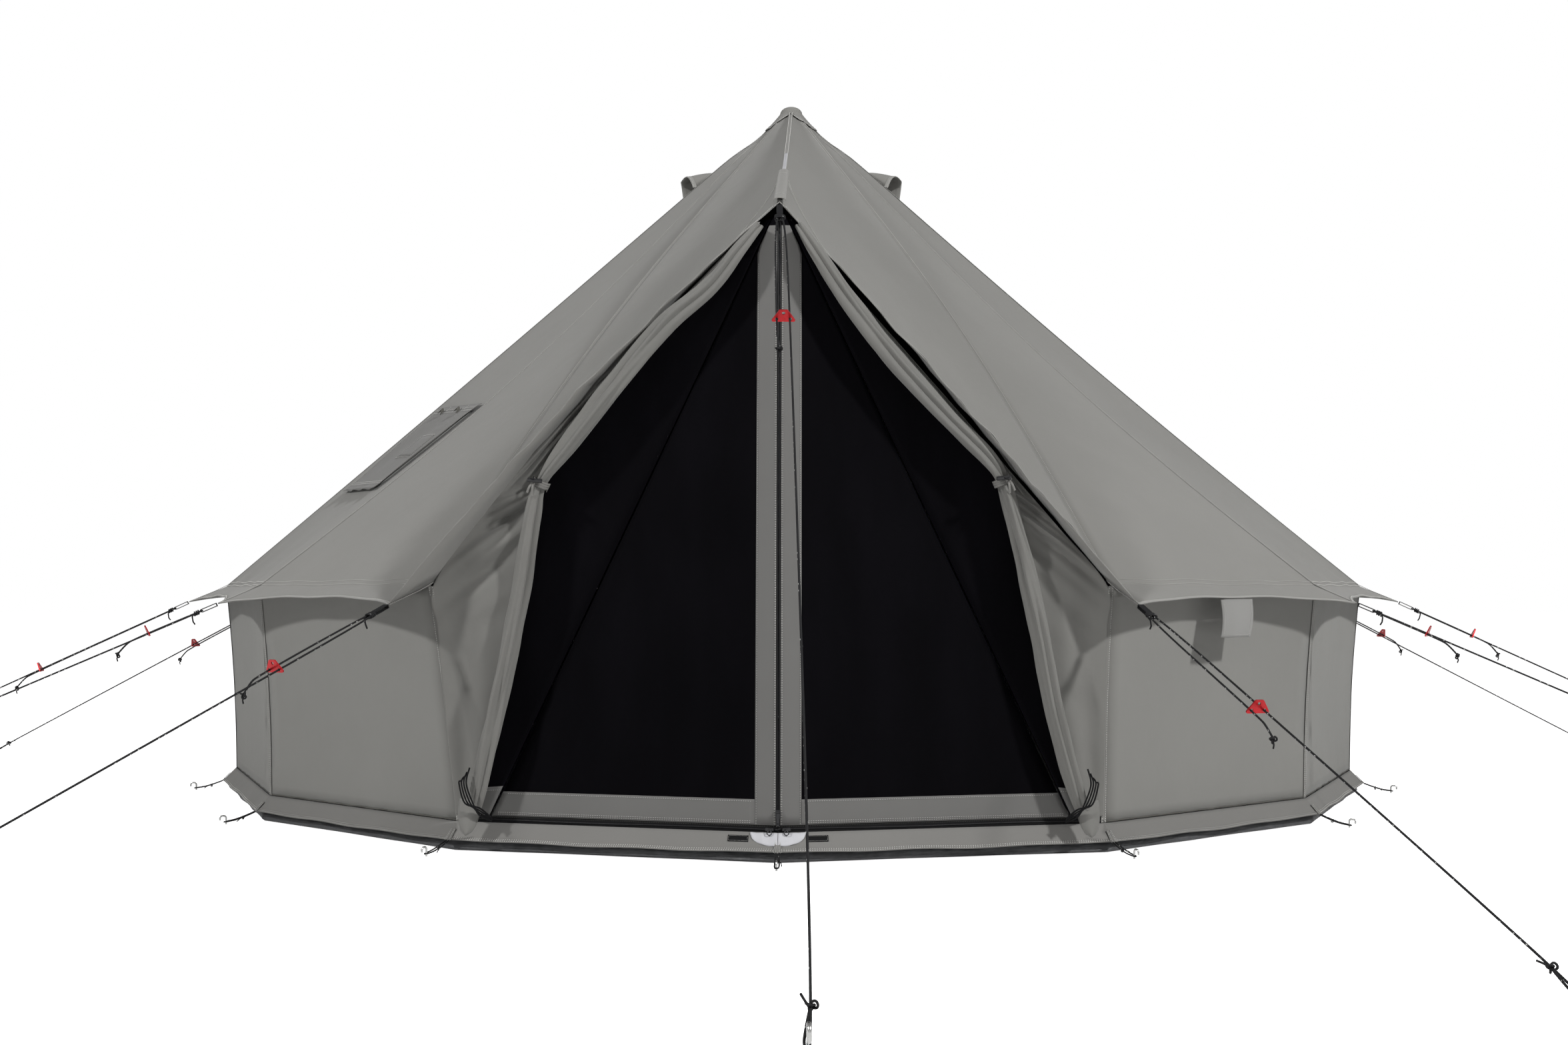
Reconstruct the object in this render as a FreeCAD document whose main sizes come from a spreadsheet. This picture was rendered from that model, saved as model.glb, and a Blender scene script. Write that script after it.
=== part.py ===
import FreeCAD, Part
import Sketcher
import math
import os

V = FreeCAD.Vector

# Bell tent, millimetres, +Z up. The origin is on the ground under the centre
# pole and the doorway faces -Y. The plan is a regular polygon with one corner
# at the middle of the doorway; angles are counted from -Y towards +X.

DIMS = {
    "sides": 14,
    "cloth_t": 3.0,
    "top_r": 46.0, "top_z": 3030.0,
    "seam_r": 2456.0, "seam_z": 857.0,
    "eave_r": 2606.0, "eave_z": 793.0,
    "wall_base_r": 2402.0, "wall_base_z": 92.0,
    "tub_foot_r": 2428.0, "tub_top_r": 2386.0, "tub_top_z": 84.0,
    "skirt_top_r": 2406.0, "skirt_top_z": 90.0,
    "skirt_hem_r": 2456.0, "skirt_hem_z": 38.0,
    "peak_y": 2204.0, "peak_z": 2106.0,
    "pole_r": 19.0, "pole_bore_r": 17.6, "pole_spigot_r": 17.3, "pole_spigot_bore_r": 15.9,
    "pole_spigot_len": 90.0,
    "pole_low_len": 1000.0, "pole_mid_len": 980.0, "pole_up_len": 960.0,
    "pole_foot_z": 3.2, "pole_foot_r": 36.0, "pole_foot_height": 26.0, "pole_seat_z": 9.0,
    "pole_cap_r": 40.0, "pole_cap_height": 44.0, "pole_cap_plug_r": 17.2, "pole_cap_plug_len": 40.0,
    "leg_r": 12.5, "leg_bore_r": 11.3, "joiner_r": 10.9, "leg_foot_r": 16.0,
    "leg_foot_height": 22.0,
    "rope_d": 6.0, "runner_base": 78.0, "runner_tall": 40.0, "runner_t": 4.0,
    "runner_hole_d": 10.0, "runner_hole_x": 20.0, "runner_hole_y": 20.0,
    "strap_len": 62.0, "strap_tall": 12.5, "strap_wide": 20.0, "strap_t": 2.2,
    "stake_r": 4.5, "stake_tall": 62.0, "stake_rope_z": 24.0,
    "peg_r": 3.2, "peg_ring_r": 2566.0, "peg_loop_d": 4.0,
    "slider_wide": 15.0, "slider_tall": 26.0, "slider_deep": 7.0,
    "pull_wide": 9.0, "pull_tall": 42.0, "pull_t": 2.0,
    "toggle_r": 7.0, "toggle_len": 46.0,
    "roll_r": 25.0,
    "flap_wide": 580.0, "flap_tall": 560.0, "flap_hinge_r": 1596.0, "flap_shift": 45.0,
}

doc = FreeCAD.newDocument("bell_tent")
sheet = doc.addObject("Spreadsheet::Sheet", "Dims")
for row, (alias, value) in enumerate(DIMS.items(), 1):
    sheet.set("A%d" % row, alias)
    sheet.set("B%d" % row, str(value))
    sheet.setAlias("B%d" % row, alias)
doc.recompute()


def D(alias):
    return float(getattr(sheet, alias))


N = int(D("sides"))
STEP = 2.0 * math.pi / N
TH = D("cloth_t")
subparts = []


def val(expr):
    out = expr
    for name in sorted(DIMS, key=len, reverse=True):
        out = out.replace("Dims." + name, "(%r)" % D(name))
    # only + - * / and brackets are used in the sizes
    total, ok = arithmetic(out)
    return total


def arithmetic(text):
    """Value of a short sum of numbers, products and brackets."""
    tokens, number = [], ""
    for c in text.replace(" ", ""):
        if c.isdigit() or c == ".":
            number += c
        else:
            if number:
                tokens.append(float(number))
                number = ""
            tokens.append(c)
    if number:
        tokens.append(float(number))
    at = [0]

    def atom():
        tk = tokens[at[0]]
        at[0] += 1
        if tk == "(":
            v = total()
            at[0] += 1
            return v
        if tk == "-":
            return -atom()
        return tk

    def product():
        v = atom()
        while at[0] < len(tokens) and tokens[at[0]] in ("*", "/"):
            op = tokens[at[0]]
            at[0] += 1
            w = atom()
            v = v * w if op == "*" else v / w
        return v

    def total():
        v = product()
        while at[0] < len(tokens) and tokens[at[0]] in ("+", "-"):
            op = tokens[at[0]]
            at[0] += 1
            w = product()
            v = v + w if op == "+" else v - w
        return v

    return total(), True


# ---------------------------------------------------------------- sketches

def plane_of(body, role):
    for f in body.Origin.OriginFeatures:
        if f.Role == role:
            return f
    raise RuntimeError(role)


def pin(sk, geo, pos, ex, ey):
    """Fix one sketch point to sizes in the sheet."""
    for axis, expr, line in (("DistanceX", ex, -2), ("DistanceY", ey, -1)):
        v = val(expr)
        if abs(v) < 1e-9:
            sk.addConstraint(Sketcher.Constraint("PointOnObject", geo, pos, line))
        elif v > 0:
            i = sk.addConstraint(Sketcher.Constraint(axis, -1, 1, geo, pos, v))
            sk.setExpression("Constraints[%d]" % i, expr)
        else:
            i = sk.addConstraint(Sketcher.Constraint(axis, geo, pos, -1, 1, -v))
            sk.setExpression("Constraints[%d]" % i, "-(%s)" % expr)


def outline(sk, pts):
    ids = []
    xy = [(val(a), val(b)) for a, b in pts]
    for i in range(len(xy)):
        a, b = xy[i], xy[(i + 1) % len(xy)]
        ids.append(sk.addGeometry(Part.LineSegment(V(a[0], a[1], 0), V(b[0], b[1], 0)), False))
    for i in range(len(ids)):
        sk.addConstraint(Sketcher.Constraint("Coincident", ids[i], 2, ids[(i + 1) % len(ids)], 1))
    for i, (a, b) in enumerate(pts):
        pin(sk, ids[i], 1, a, b)
    return ids


def new_body(name, role, sketch_name):
    body = doc.addObject("PartDesign::Body", name + "_body")
    body.Label = name
    sk = body.newObject("Sketcher::SketchObject", sketch_name)
    sk.AttachmentSupport = [(plane_of(body, role), "")]
    sk.MapMode = "FlatFace"
    return body, sk


def turned(name, pts, placement=None):
    """A body of revolution about its own Z, from (radius, height) points."""
    body, sk = new_body(name, "XZ_Plane", name + "_section")
    outline(sk, pts)
    rev = body.newObject("PartDesign::Revolution", name + "_turned")
    rev.Profile = sk
    rev.ReferenceAxis = (sk, ["V_Axis"])
    rev.Angle = 360.0
    body.Tip = rev
    if placement:
        body.Placement = placement
    subparts.append(body)
    return body


def padded(name, pts, length, holes=(), placement=None, rounds=None):
    """A flat plate: an outline with round holes, padded along its own Z."""
    body, sk = new_body(name, "XY_Plane", name + "_outline")
    outline(sk, pts)
    for x, y, dia in holes:
        g = sk.addGeometry(Part.Circle(V(val(x), val(y), 0), V(0, 0, 1), val(dia) / 2.0), False)
        i = sk.addConstraint(Sketcher.Constraint("Diameter", g, val(dia)))
        sk.setExpression("Constraints[%d]" % i, dia)
        pin(sk, g, 3, x, y)
    pad = body.newObject("PartDesign::Pad", name + "_pad")
    pad.Profile = sk
    pad.setExpression("Length", length)
    body.Tip = pad
    if rounds:
        doc.recompute()
        edges = []
        for i, e in enumerate(pad.Shape.Edges, 1):
            if len(e.Vertexes) == 2:
                d = e.Vertexes[1].Point.sub(e.Vertexes[0].Point)
                if abs(d.x) < 1e-6 and abs(d.y) < 1e-6 and not e.Curve.TypeId.endswith("Circle"):
                    p = e.Vertexes[0].Point
                    if any(abs(p.x - val(a)) < 1e-4 and abs(p.y - val(b)) < 1e-4 for a, b in pts):
                        edges.append("Edge%d" % i)
        fil = body.newObject("PartDesign::Fillet", name + "_rounds")
        fil.Base = (pad, edges)
        fil.Radius = rounds
        body.Tip = fil
    if placement:
        body.Placement = placement
    subparts.append(body)
    return body


def feature(name, shape, placement=None):
    o = doc.addObject("Part::Feature", name + "_solid")
    o.Label = name
    o.Shape = shape
    if placement:
        o.Placement = placement
    subparts.append(o)
    return o


# ---------------------------------------------------------------- cloth

LEAN_SEAM, LEAN_EAVE = 65.0, 105.0


def corner(k):
    """The corner's number counted both ways from the doorway."""
    return (k + 6) % N - 6


def at(k, r, z):
    """Point at radius r and height z on the k-th corner line of the plan. The
    left door corner is drawn outwards at the top of the wall by its guy."""
    a = k * STEP
    p = V(r * math.sin(a), -r * math.cos(a), z)
    if corner(k) == -1 and r > 2400.0 and z > 500.0:
        p.x -= LEAN_EAVE if r > 2550.0 else LEAN_SEAM
    return p


def face(pts):
    return Part.Face(Part.makePolygon(list(pts) + [pts[0]]))


def flat(pts):
    n = pts[1].sub(pts[0]).cross(pts[2].sub(pts[0]))
    if n.Length < 1e-9:
        return False
    n.normalize()
    return all(abs(p.sub(pts[0]).dot(n)) < 1e-8 for p in pts)


def block(outer, inner):
    """A closed panel between two rings of corners of equal number."""
    n = len(outer)
    rings = [list(outer), [inner[0]] + list(reversed(inner[1:]))]
    rings += [[outer[i], inner[i], inner[(i + 1) % n], outer[(i + 1) % n]] for i in range(n)]
    faces = []
    for ring in rings:
        if flat(ring):
            faces.append(face(ring))
        else:
            for i in range(1, len(ring) - 1):
                faces.append(face([ring[0], ring[i], ring[i + 1]]))
    sh = Part.Shell(faces)
    so = Part.Solid(sh)
    if so.Volume < 0:
        so.reverse()
    return so


def lift(pts, by):
    """The same corners moved square to the panel's mean plane."""
    n = V(0, 0, 0)
    for i in range(len(pts)):
        n = n.add(pts[i].cross(pts[(i + 1) % len(pts)]))
    n.normalize()
    return [p.add(V(n.x * by, n.y * by, n.z * by)) for p in pts]


def slab(pts, thick):
    return block(lift(pts, thick), pts)


def hung(pts, thick):
    """An upright panel whose thickness is towards -Y."""
    return block([p.add(V(0, -thick, 0)) for p in pts], pts)


def inward(r0, z0, r1, z1, t):
    """Offset towards the inside, in a corner plane, of a falling profile run."""
    dr, dz = r1 - r0, z1 - z0
    ln = math.hypot(dr, dz)
    return dz / ln * t, -dr / ln * t


def ring_of(profile, inner, first, last):
    """Mitred panels from corner line first to corner line last."""
    made = []
    for k in range(first, last):
        for j in range(len(profile) - 1):
            a, b = profile[j], profile[j + 1]
            c, d = inner[j], inner[j + 1]
            made.append(block(
                [at(k, *a), at(k, *b), at(k + 1, *b), at(k + 1, *a)],
                [at(k, *c), at(k, *d), at(k + 1, *d), at(k + 1, *c)]))
    return made


top_r, top_z = D("top_r"), D("top_z")
seam_r, seam_z = D("seam_r"), D("seam_z")
eave_r, eave_z = D("eave_r"), D("eave_z")

# The roof cloth is offset inside the outer profile by its thickness.
dr1, dz1 = inward(top_r, top_z, seam_r, seam_z, TH)
dr2, dz2 = inward(seam_r, seam_z, eave_r, eave_z, TH)
roof_out = [(top_r, top_z), (seam_r, seam_z), (eave_r, eave_z)]
roof_in = [(top_r + dr1, top_z + dz1),
           (seam_r + (dr1 + dr2) / 2.0, seam_z + (dz1 + dz2) / 2.0),
           (eave_r + dr2, eave_z + dz2)]

# The cloth runs a little below a straight line from top to wall on most
# corner lines, and a little above it beside the doorway.
SAG = {1: -80.0, -1: -70.0, 2: 65.0, -2: 70.0, 3: 22.0, -3: 6.0}
ROWS = 12
n_r, n_z = dr1 / TH, dz1 / TH


def ridge(k, t, deep=0.0):
    """Point on a corner line, t from 0 at the top to 1 at the wall."""
    a, b = at(k, top_r, top_z), at(k, seam_r, seam_z)
    p = a.add(b.sub(a).multiply(t))
    by = deep + SAG.get(corner(k), 20.0) * math.sin(math.pi * t ** 1.2)
    return p.add(at(k, n_r * by, 0.0)).add(V(0, 0, n_z * by))


def grid_solid(outer, inner):
    """A closed sheet between two grids of points of the same size."""
    nu, nv = len(outer), len(outer[0])
    faces = []
    for i in range(nu - 1):
        for j in range(nv - 1):
            for g, turn in ((outer, False), (inner, True)):
                q = [g[i][j], g[i + 1][j], g[i + 1][j + 1], g[i][j + 1]]
                for tri in ((q[0], q[1], q[2]), (q[0], q[2], q[3])):
                    if tri[1].sub(tri[0]).cross(tri[2].sub(tri[0])).Length > 1e-6:
                        faces.append(face(tri[::-1] if turn else tri))
    rim = [(i, 0) for i in range(nu)] + [(nu - 1, j) for j in range(1, nv)]
    rim += [(i, nv - 1) for i in range(nu - 2, -1, -1)] + [(0, j) for j in range(nv - 2, 0, -1)]
    for m in range(len(rim)):
        (i, j), (k, l) = rim[m], rim[(m + 1) % len(rim)]
        q = [outer[i][j], inner[i][j], inner[k][l], outer[k][l]]
        for tri in ((q[0], q[1], q[2]), (q[0], q[2], q[3])):
            if tri[1].sub(tri[0]).cross(tri[2].sub(tri[0])).Length > 1e-6:
                faces.append(face(tri))
    so = Part.Solid(Part.Shell(faces))
    if so.Volume < 0:
        so.reverse()
    return so


def mix(a, b, f):
    return a.add(b.sub(a).multiply(f))


panels = []
for k in range(1, N - 1):
    outer, inner = [], []
    for j in range(ROWS + 1):
        t = j / ROWS
        a, b = ridge(k, t), ridge(k + 1, t)
        c, d = (ridge(k, t, TH), ridge(k + 1, t, TH)) if j < ROWS else (at(k, *roof_in[1]), at(k + 1, *roof_in[1]))
        outer.append([a, mix(a, b, 0.5), b])
        inner.append([c, mix(c, d, 0.5), d])
    panels.append(grid_solid(outer, inner))
panels += ring_of(roof_out[1:], roof_in[1:], 1, N - 1)

# The two front gores rise to the peak of the doorway, and their hems run from
# the peak to the eave corners.
peak = V(0, -D("peak_y"), D("peak_z"))
front_top, front_top_in = at(0, top_r, top_z), at(0, top_r - 1.2, top_z - 2.8)
peak_in = peak.add(V(0, 1.2, -2.8))
for side in (1, -1):
    outer, inner = [], []
    for j in range(ROWS + 2):
        t = j / (ROWS + 1)
        f, g = mix(front_top, peak, t), mix(front_top_in, peak_in, t)
        if j < ROWS:
            a, c = ridge(side, j / ROWS), ridge(side, j / ROWS, TH)
        elif j == ROWS:
            a, c = at(side, seam_r, seam_z), at(side, *roof_in[1])
        else:
            a, c = at(side, eave_r, eave_z), at(side, *roof_in[2])
        outer.append([f, mix(f, a, 0.5), a])
        inner.append([g, mix(g, c, 0.5), c])
    panels.append(grid_solid(outer, inner))
feature("roof_canvas", Part.makeCompound(panels))

# A turned cap closes the top of the roof.
turned("apex_cap", [
    ("0", "Dims.top_z+12"), ("Dims.top_r-6", "Dims.top_z+6"), ("Dims.top_r+10", "Dims.top_z-2"),
    ("Dims.top_r+12", "Dims.top_z+0.6"), ("Dims.top_r-4", "Dims.top_z+11"), ("0", "Dims.top_z+18")])

# Upright wall, from the door corner round the back to the other one.
wall_top = seam_z - 6.0
wall_top_r = seam_r - 3.0
wall_out = [(D("wall_base_r"), D("wall_base_z")), (wall_top_r, wall_top)]
wall_in = [(D("wall_base_r") - TH, D("wall_base_z")), (wall_top_r - TH, wall_top)]
feature("wall_canvas", Part.makeCompound(ring_of(wall_out[::-1], wall_in[::-1], 1, N - 1)))

# Mud flap round the whole foot.
sk_out = [(D("skirt_top_r"), D("skirt_top_z")), (D("skirt_hem_r"), D("skirt_hem_z"))]
dr, dz = inward(*sk_out[0], *sk_out[1], 2.0)
sk_in = [(r + dr, z + dz) for r, z in sk_out]
feature("mud_flap", Part.makeCompound(ring_of(sk_out, sk_in, 0, N)))

# Groundsheet: a floor and a raised edge.
foot_r, tub_r, tub_z = D("tub_foot_r"), D("tub_top_r"), D("tub_top_z")
floor = slab([at(k, foot_r - 7.0, 0.0) for k in range(N)], 3.0)
edge = ring_of([(tub_r, tub_z), (foot_r, 0.0)], [(tub_r - 3.0, tub_z), (foot_r - 3.6, 0.0)], 0, N)
feature("groundsheet", Part.makeCompound([floor] + edge))

# ---------------------------------------------------------------- poles

sp = "Dims.pole_spigot_len"


def pole(name, length, z0, spigot):
    pts = [("Dims.pole_bore_r", "0"), ("Dims.pole_r", "0"), ("Dims.pole_r", length)]
    if spigot:
        pts += [("Dims.pole_spigot_r", length), ("Dims.pole_spigot_r", length + "+" + sp),
                ("Dims.pole_spigot_bore_r", length + "+" + sp), ("Dims.pole_spigot_bore_r", length + "-20"),
                ("Dims.pole_bore_r", length + "-20")]
    else:
        pts += [("Dims.pole_bore_r", length)]
    return turned(name, pts, FreeCAD.Placement(V(0, 0, z0), FreeCAD.Rotation()))


z_seat = D("pole_foot_z") + D("pole_seat_z")
z_mid = z_seat + D("pole_low_len")
z_up = z_mid + D("pole_mid_len")
z_top = z_up + D("pole_up_len")
turned("centre_pole_foot", [
    ("0", "Dims.pole_foot_z"), ("Dims.pole_foot_r", "Dims.pole_foot_z"),
    ("Dims.pole_foot_r-4", "Dims.pole_foot_z+8"), ("Dims.pole_r+5", "Dims.pole_foot_z+12"),
    ("Dims.pole_r+4", "Dims.pole_foot_z+Dims.pole_foot_height"),
    ("Dims.pole_r+0.3", "Dims.pole_foot_z+Dims.pole_foot_height"),
    ("Dims.pole_r+0.3", "Dims.pole_foot_z+Dims.pole_seat_z"), ("0", "Dims.pole_foot_z+Dims.pole_seat_z")])
pole("centre_pole_lower", "Dims.pole_low_len", z_seat, True)
pole("centre_pole_middle", "Dims.pole_mid_len", z_mid, True)
pole("centre_pole_upper", "Dims.pole_up_len", z_up, False)
turned("centre_pole_cap", [
    ("0", "0"), ("Dims.pole_cap_plug_r", "0"), ("Dims.pole_cap_plug_r", "Dims.pole_cap_plug_len"),
    ("Dims.pole_cap_r-4", "Dims.pole_cap_plug_len"), ("Dims.pole_cap_r", "Dims.pole_cap_plug_len+5"),
    ("Dims.pole_cap_r-4", "Dims.pole_cap_plug_len+22"),
    ("Dims.pole_cap_r-22", "Dims.pole_cap_plug_len+Dims.pole_cap_height-6"),
    ("0", "Dims.pole_cap_plug_len+Dims.pole_cap_height")],
    FreeCAD.Placement(V(0, 0, z_top - D("pole_cap_plug_len")), FreeCAD.Rotation()))


def along(p, q):
    """Placement whose own Z runs from p towards q."""
    return FreeCAD.Placement(p, FreeCAD.Rotation(V(0, 0, 1), q.sub(p)))


# ---------------------------------------------------------------- tubes

def route(pts, radii=None):
    """Straight runs joined by tangent arcs, as one wire. Prints the radii."""
    n = len(pts)
    radii = radii or {}
    cuts, used = {}, []
    for i in range(1, n - 1):
        a, b = pts[i].sub(pts[i - 1]), pts[i + 1].sub(pts[i])
        la, lb = a.Length, b.Length
        a.normalize()
        b.normalize()
        turn = math.acos(max(-1.0, min(1.0, a.dot(b))))
        half = math.tan(turn / 2.0)
        r = radii.get(i, 0.45 * min(la, lb) / half)
        cut = r * half
        p = pts[i].sub(V(a.x * cut, a.y * cut, a.z * cut))
        q = pts[i].add(V(b.x * cut, b.y * cut, b.z * cut))
        to = b.sub(a)
        to.normalize()
        far = r / math.cos(turn / 2.0)
        mid = pts[i].add(V(to.x * (far - r), to.y * (far - r), to.z * (far - r)))
        cuts[i] = (p, mid, q)
        used.append(round(r, 1))
    edges, here = [], pts[0]
    for i in range(1, n - 1):
        p, mid, q = cuts[i]
        if here.distanceToPoint(p) > 1e-6:
            edges.append(Part.LineSegment(here, p).toShape())
        edges.append(Part.Arc(p, mid, q).toShape())
        here = q
    edges.append(Part.LineSegment(here, pts[-1]).toShape())
    return Part.Wire(edges), used


def tube(label, pts, r, radii=None, show=True):
    wire, used = route(pts, radii)
    start = pts[1].sub(pts[0])
    ring = Part.Wire([Part.makeCircle(r, pts[0], start)])
    solid = wire.makePipeShell([ring], True, False)
    if solid.Volume < 0:
        solid.reverse()
    want = math.pi * r * r * wire.Length
    if abs(solid.Volume - want) > 0.01 * want:
        print("VOLUME", label, solid.Volume, want)
    if show:
        print("cord", label, "length_mm", round(wire.Length, 1), "radii", used,
              "volume_ratio", round(solid.Volume / want, 4))
    return solid


# ---------------------------------------------------------------- door frame

joint_y, joint_z = -D("peak_y") + 58.0, D("peak_z") - 62.0
foot_l = V(-985.0, -2088.0, D("pole_foot_z") + 8.0)
foot_r_ = V(985.0, -2088.0, D("pole_foot_z") + 8.0)
for side, foot in ((-1, foot_l), (1, foot_r_)):
    name = "a_frame_leg_left" if side < 0 else "a_frame_leg_right"
    top = V(side * 62.0, joint_y, joint_z - 96.0)
    ax = top.sub(foot)
    length = ax.Length
    ax.normalize()
    turn = FreeCAD.Rotation(V(0, 0, 1), ax)
    pipe_o = Part.makeCylinder(D("leg_r"), length, foot, ax)
    pipe_o = pipe_o.cut(Part.makeCylinder(D("leg_bore_r"), length - 30.0, foot.add(V(ax.x * 30, ax.y * 30, ax.z * 30)), ax))
    # rubber foot round the lower end of the leg
    shoe = Part.makeCylinder(D("leg_foot_r"), D("leg_foot_height") + 30.0, foot.sub(V(ax.x * 20, ax.y * 20, ax.z * 20)), ax)
    shoe = shoe.cut(Part.makeCylinder(D("leg_r") + 0.2, 200.0, foot, ax))
    shoe = shoe.common(Part.makeBox(200, 200, 200, V(foot.x - 100, foot.y - 100, D("pole_foot_z"))))
    feature(name, Part.makeCompound([pipe_o, shoe]))

jl = V(-62.0, joint_y, joint_z - 96.0)
jr = V(62.0, joint_y, joint_z - 96.0)
al, ar = foot_l.sub(jl), foot_r_.sub(jr)
al.normalize()
ar.normalize()
apex_pt = V(0, joint_y, joint_z + 14.0)
pl = jl.add(V(al.x * 90, al.y * 90, al.z * 90))
pr = jr.add(V(ar.x * 90, ar.y * 90, ar.z * 90))
kl = jl.sub(V(al.x * 60, al.y * 60, al.z * 60))
kr = jr.sub(V(ar.x * 60, ar.y * 60, ar.z * 60))
feature("a_frame_joiner", tube("a_frame_joiner", [pl, kl, kr, pr], D("joiner_r"), {1: 34.0, 2: 34.0}, False))

# ---------------------------------------------------------------- doors

# Hinge line of each mesh door: from the peak down to the foot of the doorway.
hinge_top_z, hinge_low_z = D("peak_z") - 26.0, 112.0
HX_TOP, HX_LOW = 20.0, 930.0
HY_TOP, HY_LOW = -(D("peak_y") - 6.0), -2184.0
cent_top = V(0, HY_TOP + 0.0, hinge_top_z - 22.0)
cent_low = V(0, -2398.0, hinge_low_z)


def mesh_door(name, side):
    hi = V(side * HX_TOP, HY_TOP, hinge_top_z - 22.0)
    lo = V(side * HX_LOW, HY_LOW, hinge_low_z)
    gap = 0.6
    ct = V(side * gap, cent_top.y, cent_top.z)
    cl = V(side * gap, cent_low.y, cent_low.z)
    strip = 62.0
    # canvas border beside the centre zip, and along the foot
    c2t = V(side * (HX_TOP - 1.0), cent_top.y, cent_top.z)
    solids = []

    def on(u, v):
        """u along the foot from the middle, v up the middle from the foot."""
        foot = cl.add(lo.sub(cl).multiply(u))
        head = ct.add(hi.sub(ct).multiply(u))
        return foot.add(head.sub(foot).multiply(v))
    solids.append(hung([on(0, 0), on(1, 0), on(1, 1), on(0, 1)], 2.0))
    return feature(name, Part.makeCompound(solids))


mesh_door("mesh_door_left", -1)
mesh_door("mesh_door_right", 1)

# Fixed mesh between each hinge line and the door corner.
sides = []
for side in (-1, 1):
    a = V(side * (HX_TOP + 7.0), HY_TOP, hinge_top_z - 24.0)
    b = at(side, seam_r - 30.0, seam_z - 34.0)
    c = at(side, D("wall_base_r") - 16.0, 118.0)
    d = V(side * (HX_LOW + 8.0), HY_LOW, hinge_low_z + 4.0)
    sides.append(hung([a, b, c, d], 2.0))
feature("mesh_side_panels", Part.makeCompound(sides))

# Canvas doors, rolled and tied back: a fan of cloth beside the corner, and the roll.
TIE = {-1: V(-772.0, -2262.0, 1220.0), 1: V(708.0, -2262.0, 1226.0)}
for side in (-1, 1):
    tie = TIE[side]
    head = V(side * 106.0, -2262.0, 1958.0)
    lowr = V(side * 968.0, -2246.0, 158.0)
    mid1 = V(tie.x + side * 60.0, -2268.0, 860.0)
    r = D("roll_r")
    mid0 = V(366.0, -2264.0, 1590.0) if side > 0 else V(-452.0, -2264.0, 1575.0)
    pts = [head, mid0, tie, mid1, lowr]
    roll = tube("roll", pts, r, {1: 400.0, 2: 80.0, 3: 500.0}, False)
    off = 3.0
    p_top = V(side * 150.0, -2223.0, 1902.0)
    p_cor = at(side, seam_r + 2.0, seam_z - 19.0).add(V(0, -12.0, 0))
    p_tie = V(tie.x + side * 46.0, -2224.0, tie.z - 112.0)
    p_base = at(side, D("wall_base_r") + 6.0, 116.0).add(V(0, -8.0, 0))
    p_low = V(lowr.x + side * 29.0, -2228.0, 170.0)
    gap = V(-side * 2.0, 0, -2.0)
    sl1 = hung([p_top, p_cor, p_tie], off)
    sl2 = hung([p_tie.add(gap), p_cor.add(gap), p_base, p_low], off)
    name = "outer_door_left" if side < 0 else "outer_door_right"
    feature(name, Part.makeCompound([roll, sl1, sl2]))

bands, toggles = [], []
for side in (-1, 1):
    tie = TIE[side]
    d = V(side * 60.0, -6.0, 860.0 - tie.z)
    d.normalize()
    r = D("roll_r")
    c = tie.add(V(d.x * 37.0, d.y * 37.0, d.z * 37.0))
    a0 = c.sub(V(d.x * 9, d.y * 9, d.z * 9))
    band = Part.makeCylinder(r + 8.5, 18.0, a0, d).cut(Part.makeCylinder(r + 6.5, 40.0, a0.sub(V(d.x * 5, d.y * 5, d.z * 5)), d))
    bands.append(band)
    t0 = c.add(V(-side * 23.0, -(r + 17.5), 4.0))
    toggles.append((side, t0))
feature("door_ties", Part.makeCompound(bands))
cyls = []
for side, t0 in toggles:
    cy = doc.addObject("Part::Cylinder", "toggle_%s" % ("left" if side < 0 else "right"))
    cy.setExpression("Radius", "Dims.toggle_r")
    cy.setExpression("Height", "Dims.toggle_len")
    cy.Placement = FreeCAD.Placement(t0 if side > 0 else t0, FreeCAD.Rotation(V(0, 0, 1), V(side, 0, 0.1)))
    cyls.append(cy)
doc.recompute()
tog = doc.addObject("Part::Compound", "door_toggles_group")
tog.Label = "door_toggles"
tog.Links = cyls
subparts.append(tog)

# ---------------------------------------------------------------- zips

gap0 = STEP / 2.0
ux = V(math.cos(gap0), math.sin(gap0), 0)      # along the right-hand foot edge
nx = V(math.sin(gap0), -math.cos(gap0), 0)     # square to it, outwards
zip_slabs = []
for side in (-1, 1):
    a = at(0, D("wall_base_r") - 2.0, 94.5)
    b = at(side, D("wall_base_r") - 12.0, 94.5)
    ring = [a, b, b.add(V(0, 0, 12.0)), a.add(V(0, 0, 12.0))]
    if side < 0:
        ring = ring[::-1]
    zip_slabs.append(slab(ring, 2.0))
feature("threshold_zip", Part.makeCompound(zip_slabs))

for side in (-1, 1):
    name = "threshold_slider_left" if side < 0 else "threshold_slider_right"
    a = at(0, D("wall_base_r") + 3.4, 100.5)
    u = V(side * ux.x, ux.y, 0)
    n = V(side * nx.x, nx.y, 0)
    pos = a.add(V(u.x * 26, u.y * 26, 0))
    m = FreeCAD.Matrix(u.x, 0, n.x, pos.x, u.y, 0, n.y, pos.y, 0, 1, 0, pos.z, 0, 0, 0, 1)
    if m.determinant() < 0:
        m = FreeCAD.Matrix(-u.x, 0, n.x, pos.x, -u.y, 0, n.y, pos.y, 0, 1, 0, pos.z, 0, 0, 0, 1)
    padded(name, [("-Dims.slider_tall/2", "-4.5"), ("Dims.slider_tall/2", "-4.5"),
                  ("Dims.slider_tall/2", "4.5"), ("-Dims.slider_tall/2", "4.5")],
           "Dims.slider_deep", placement=FreeCAD.Placement(m), rounds=2.0)

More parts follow.
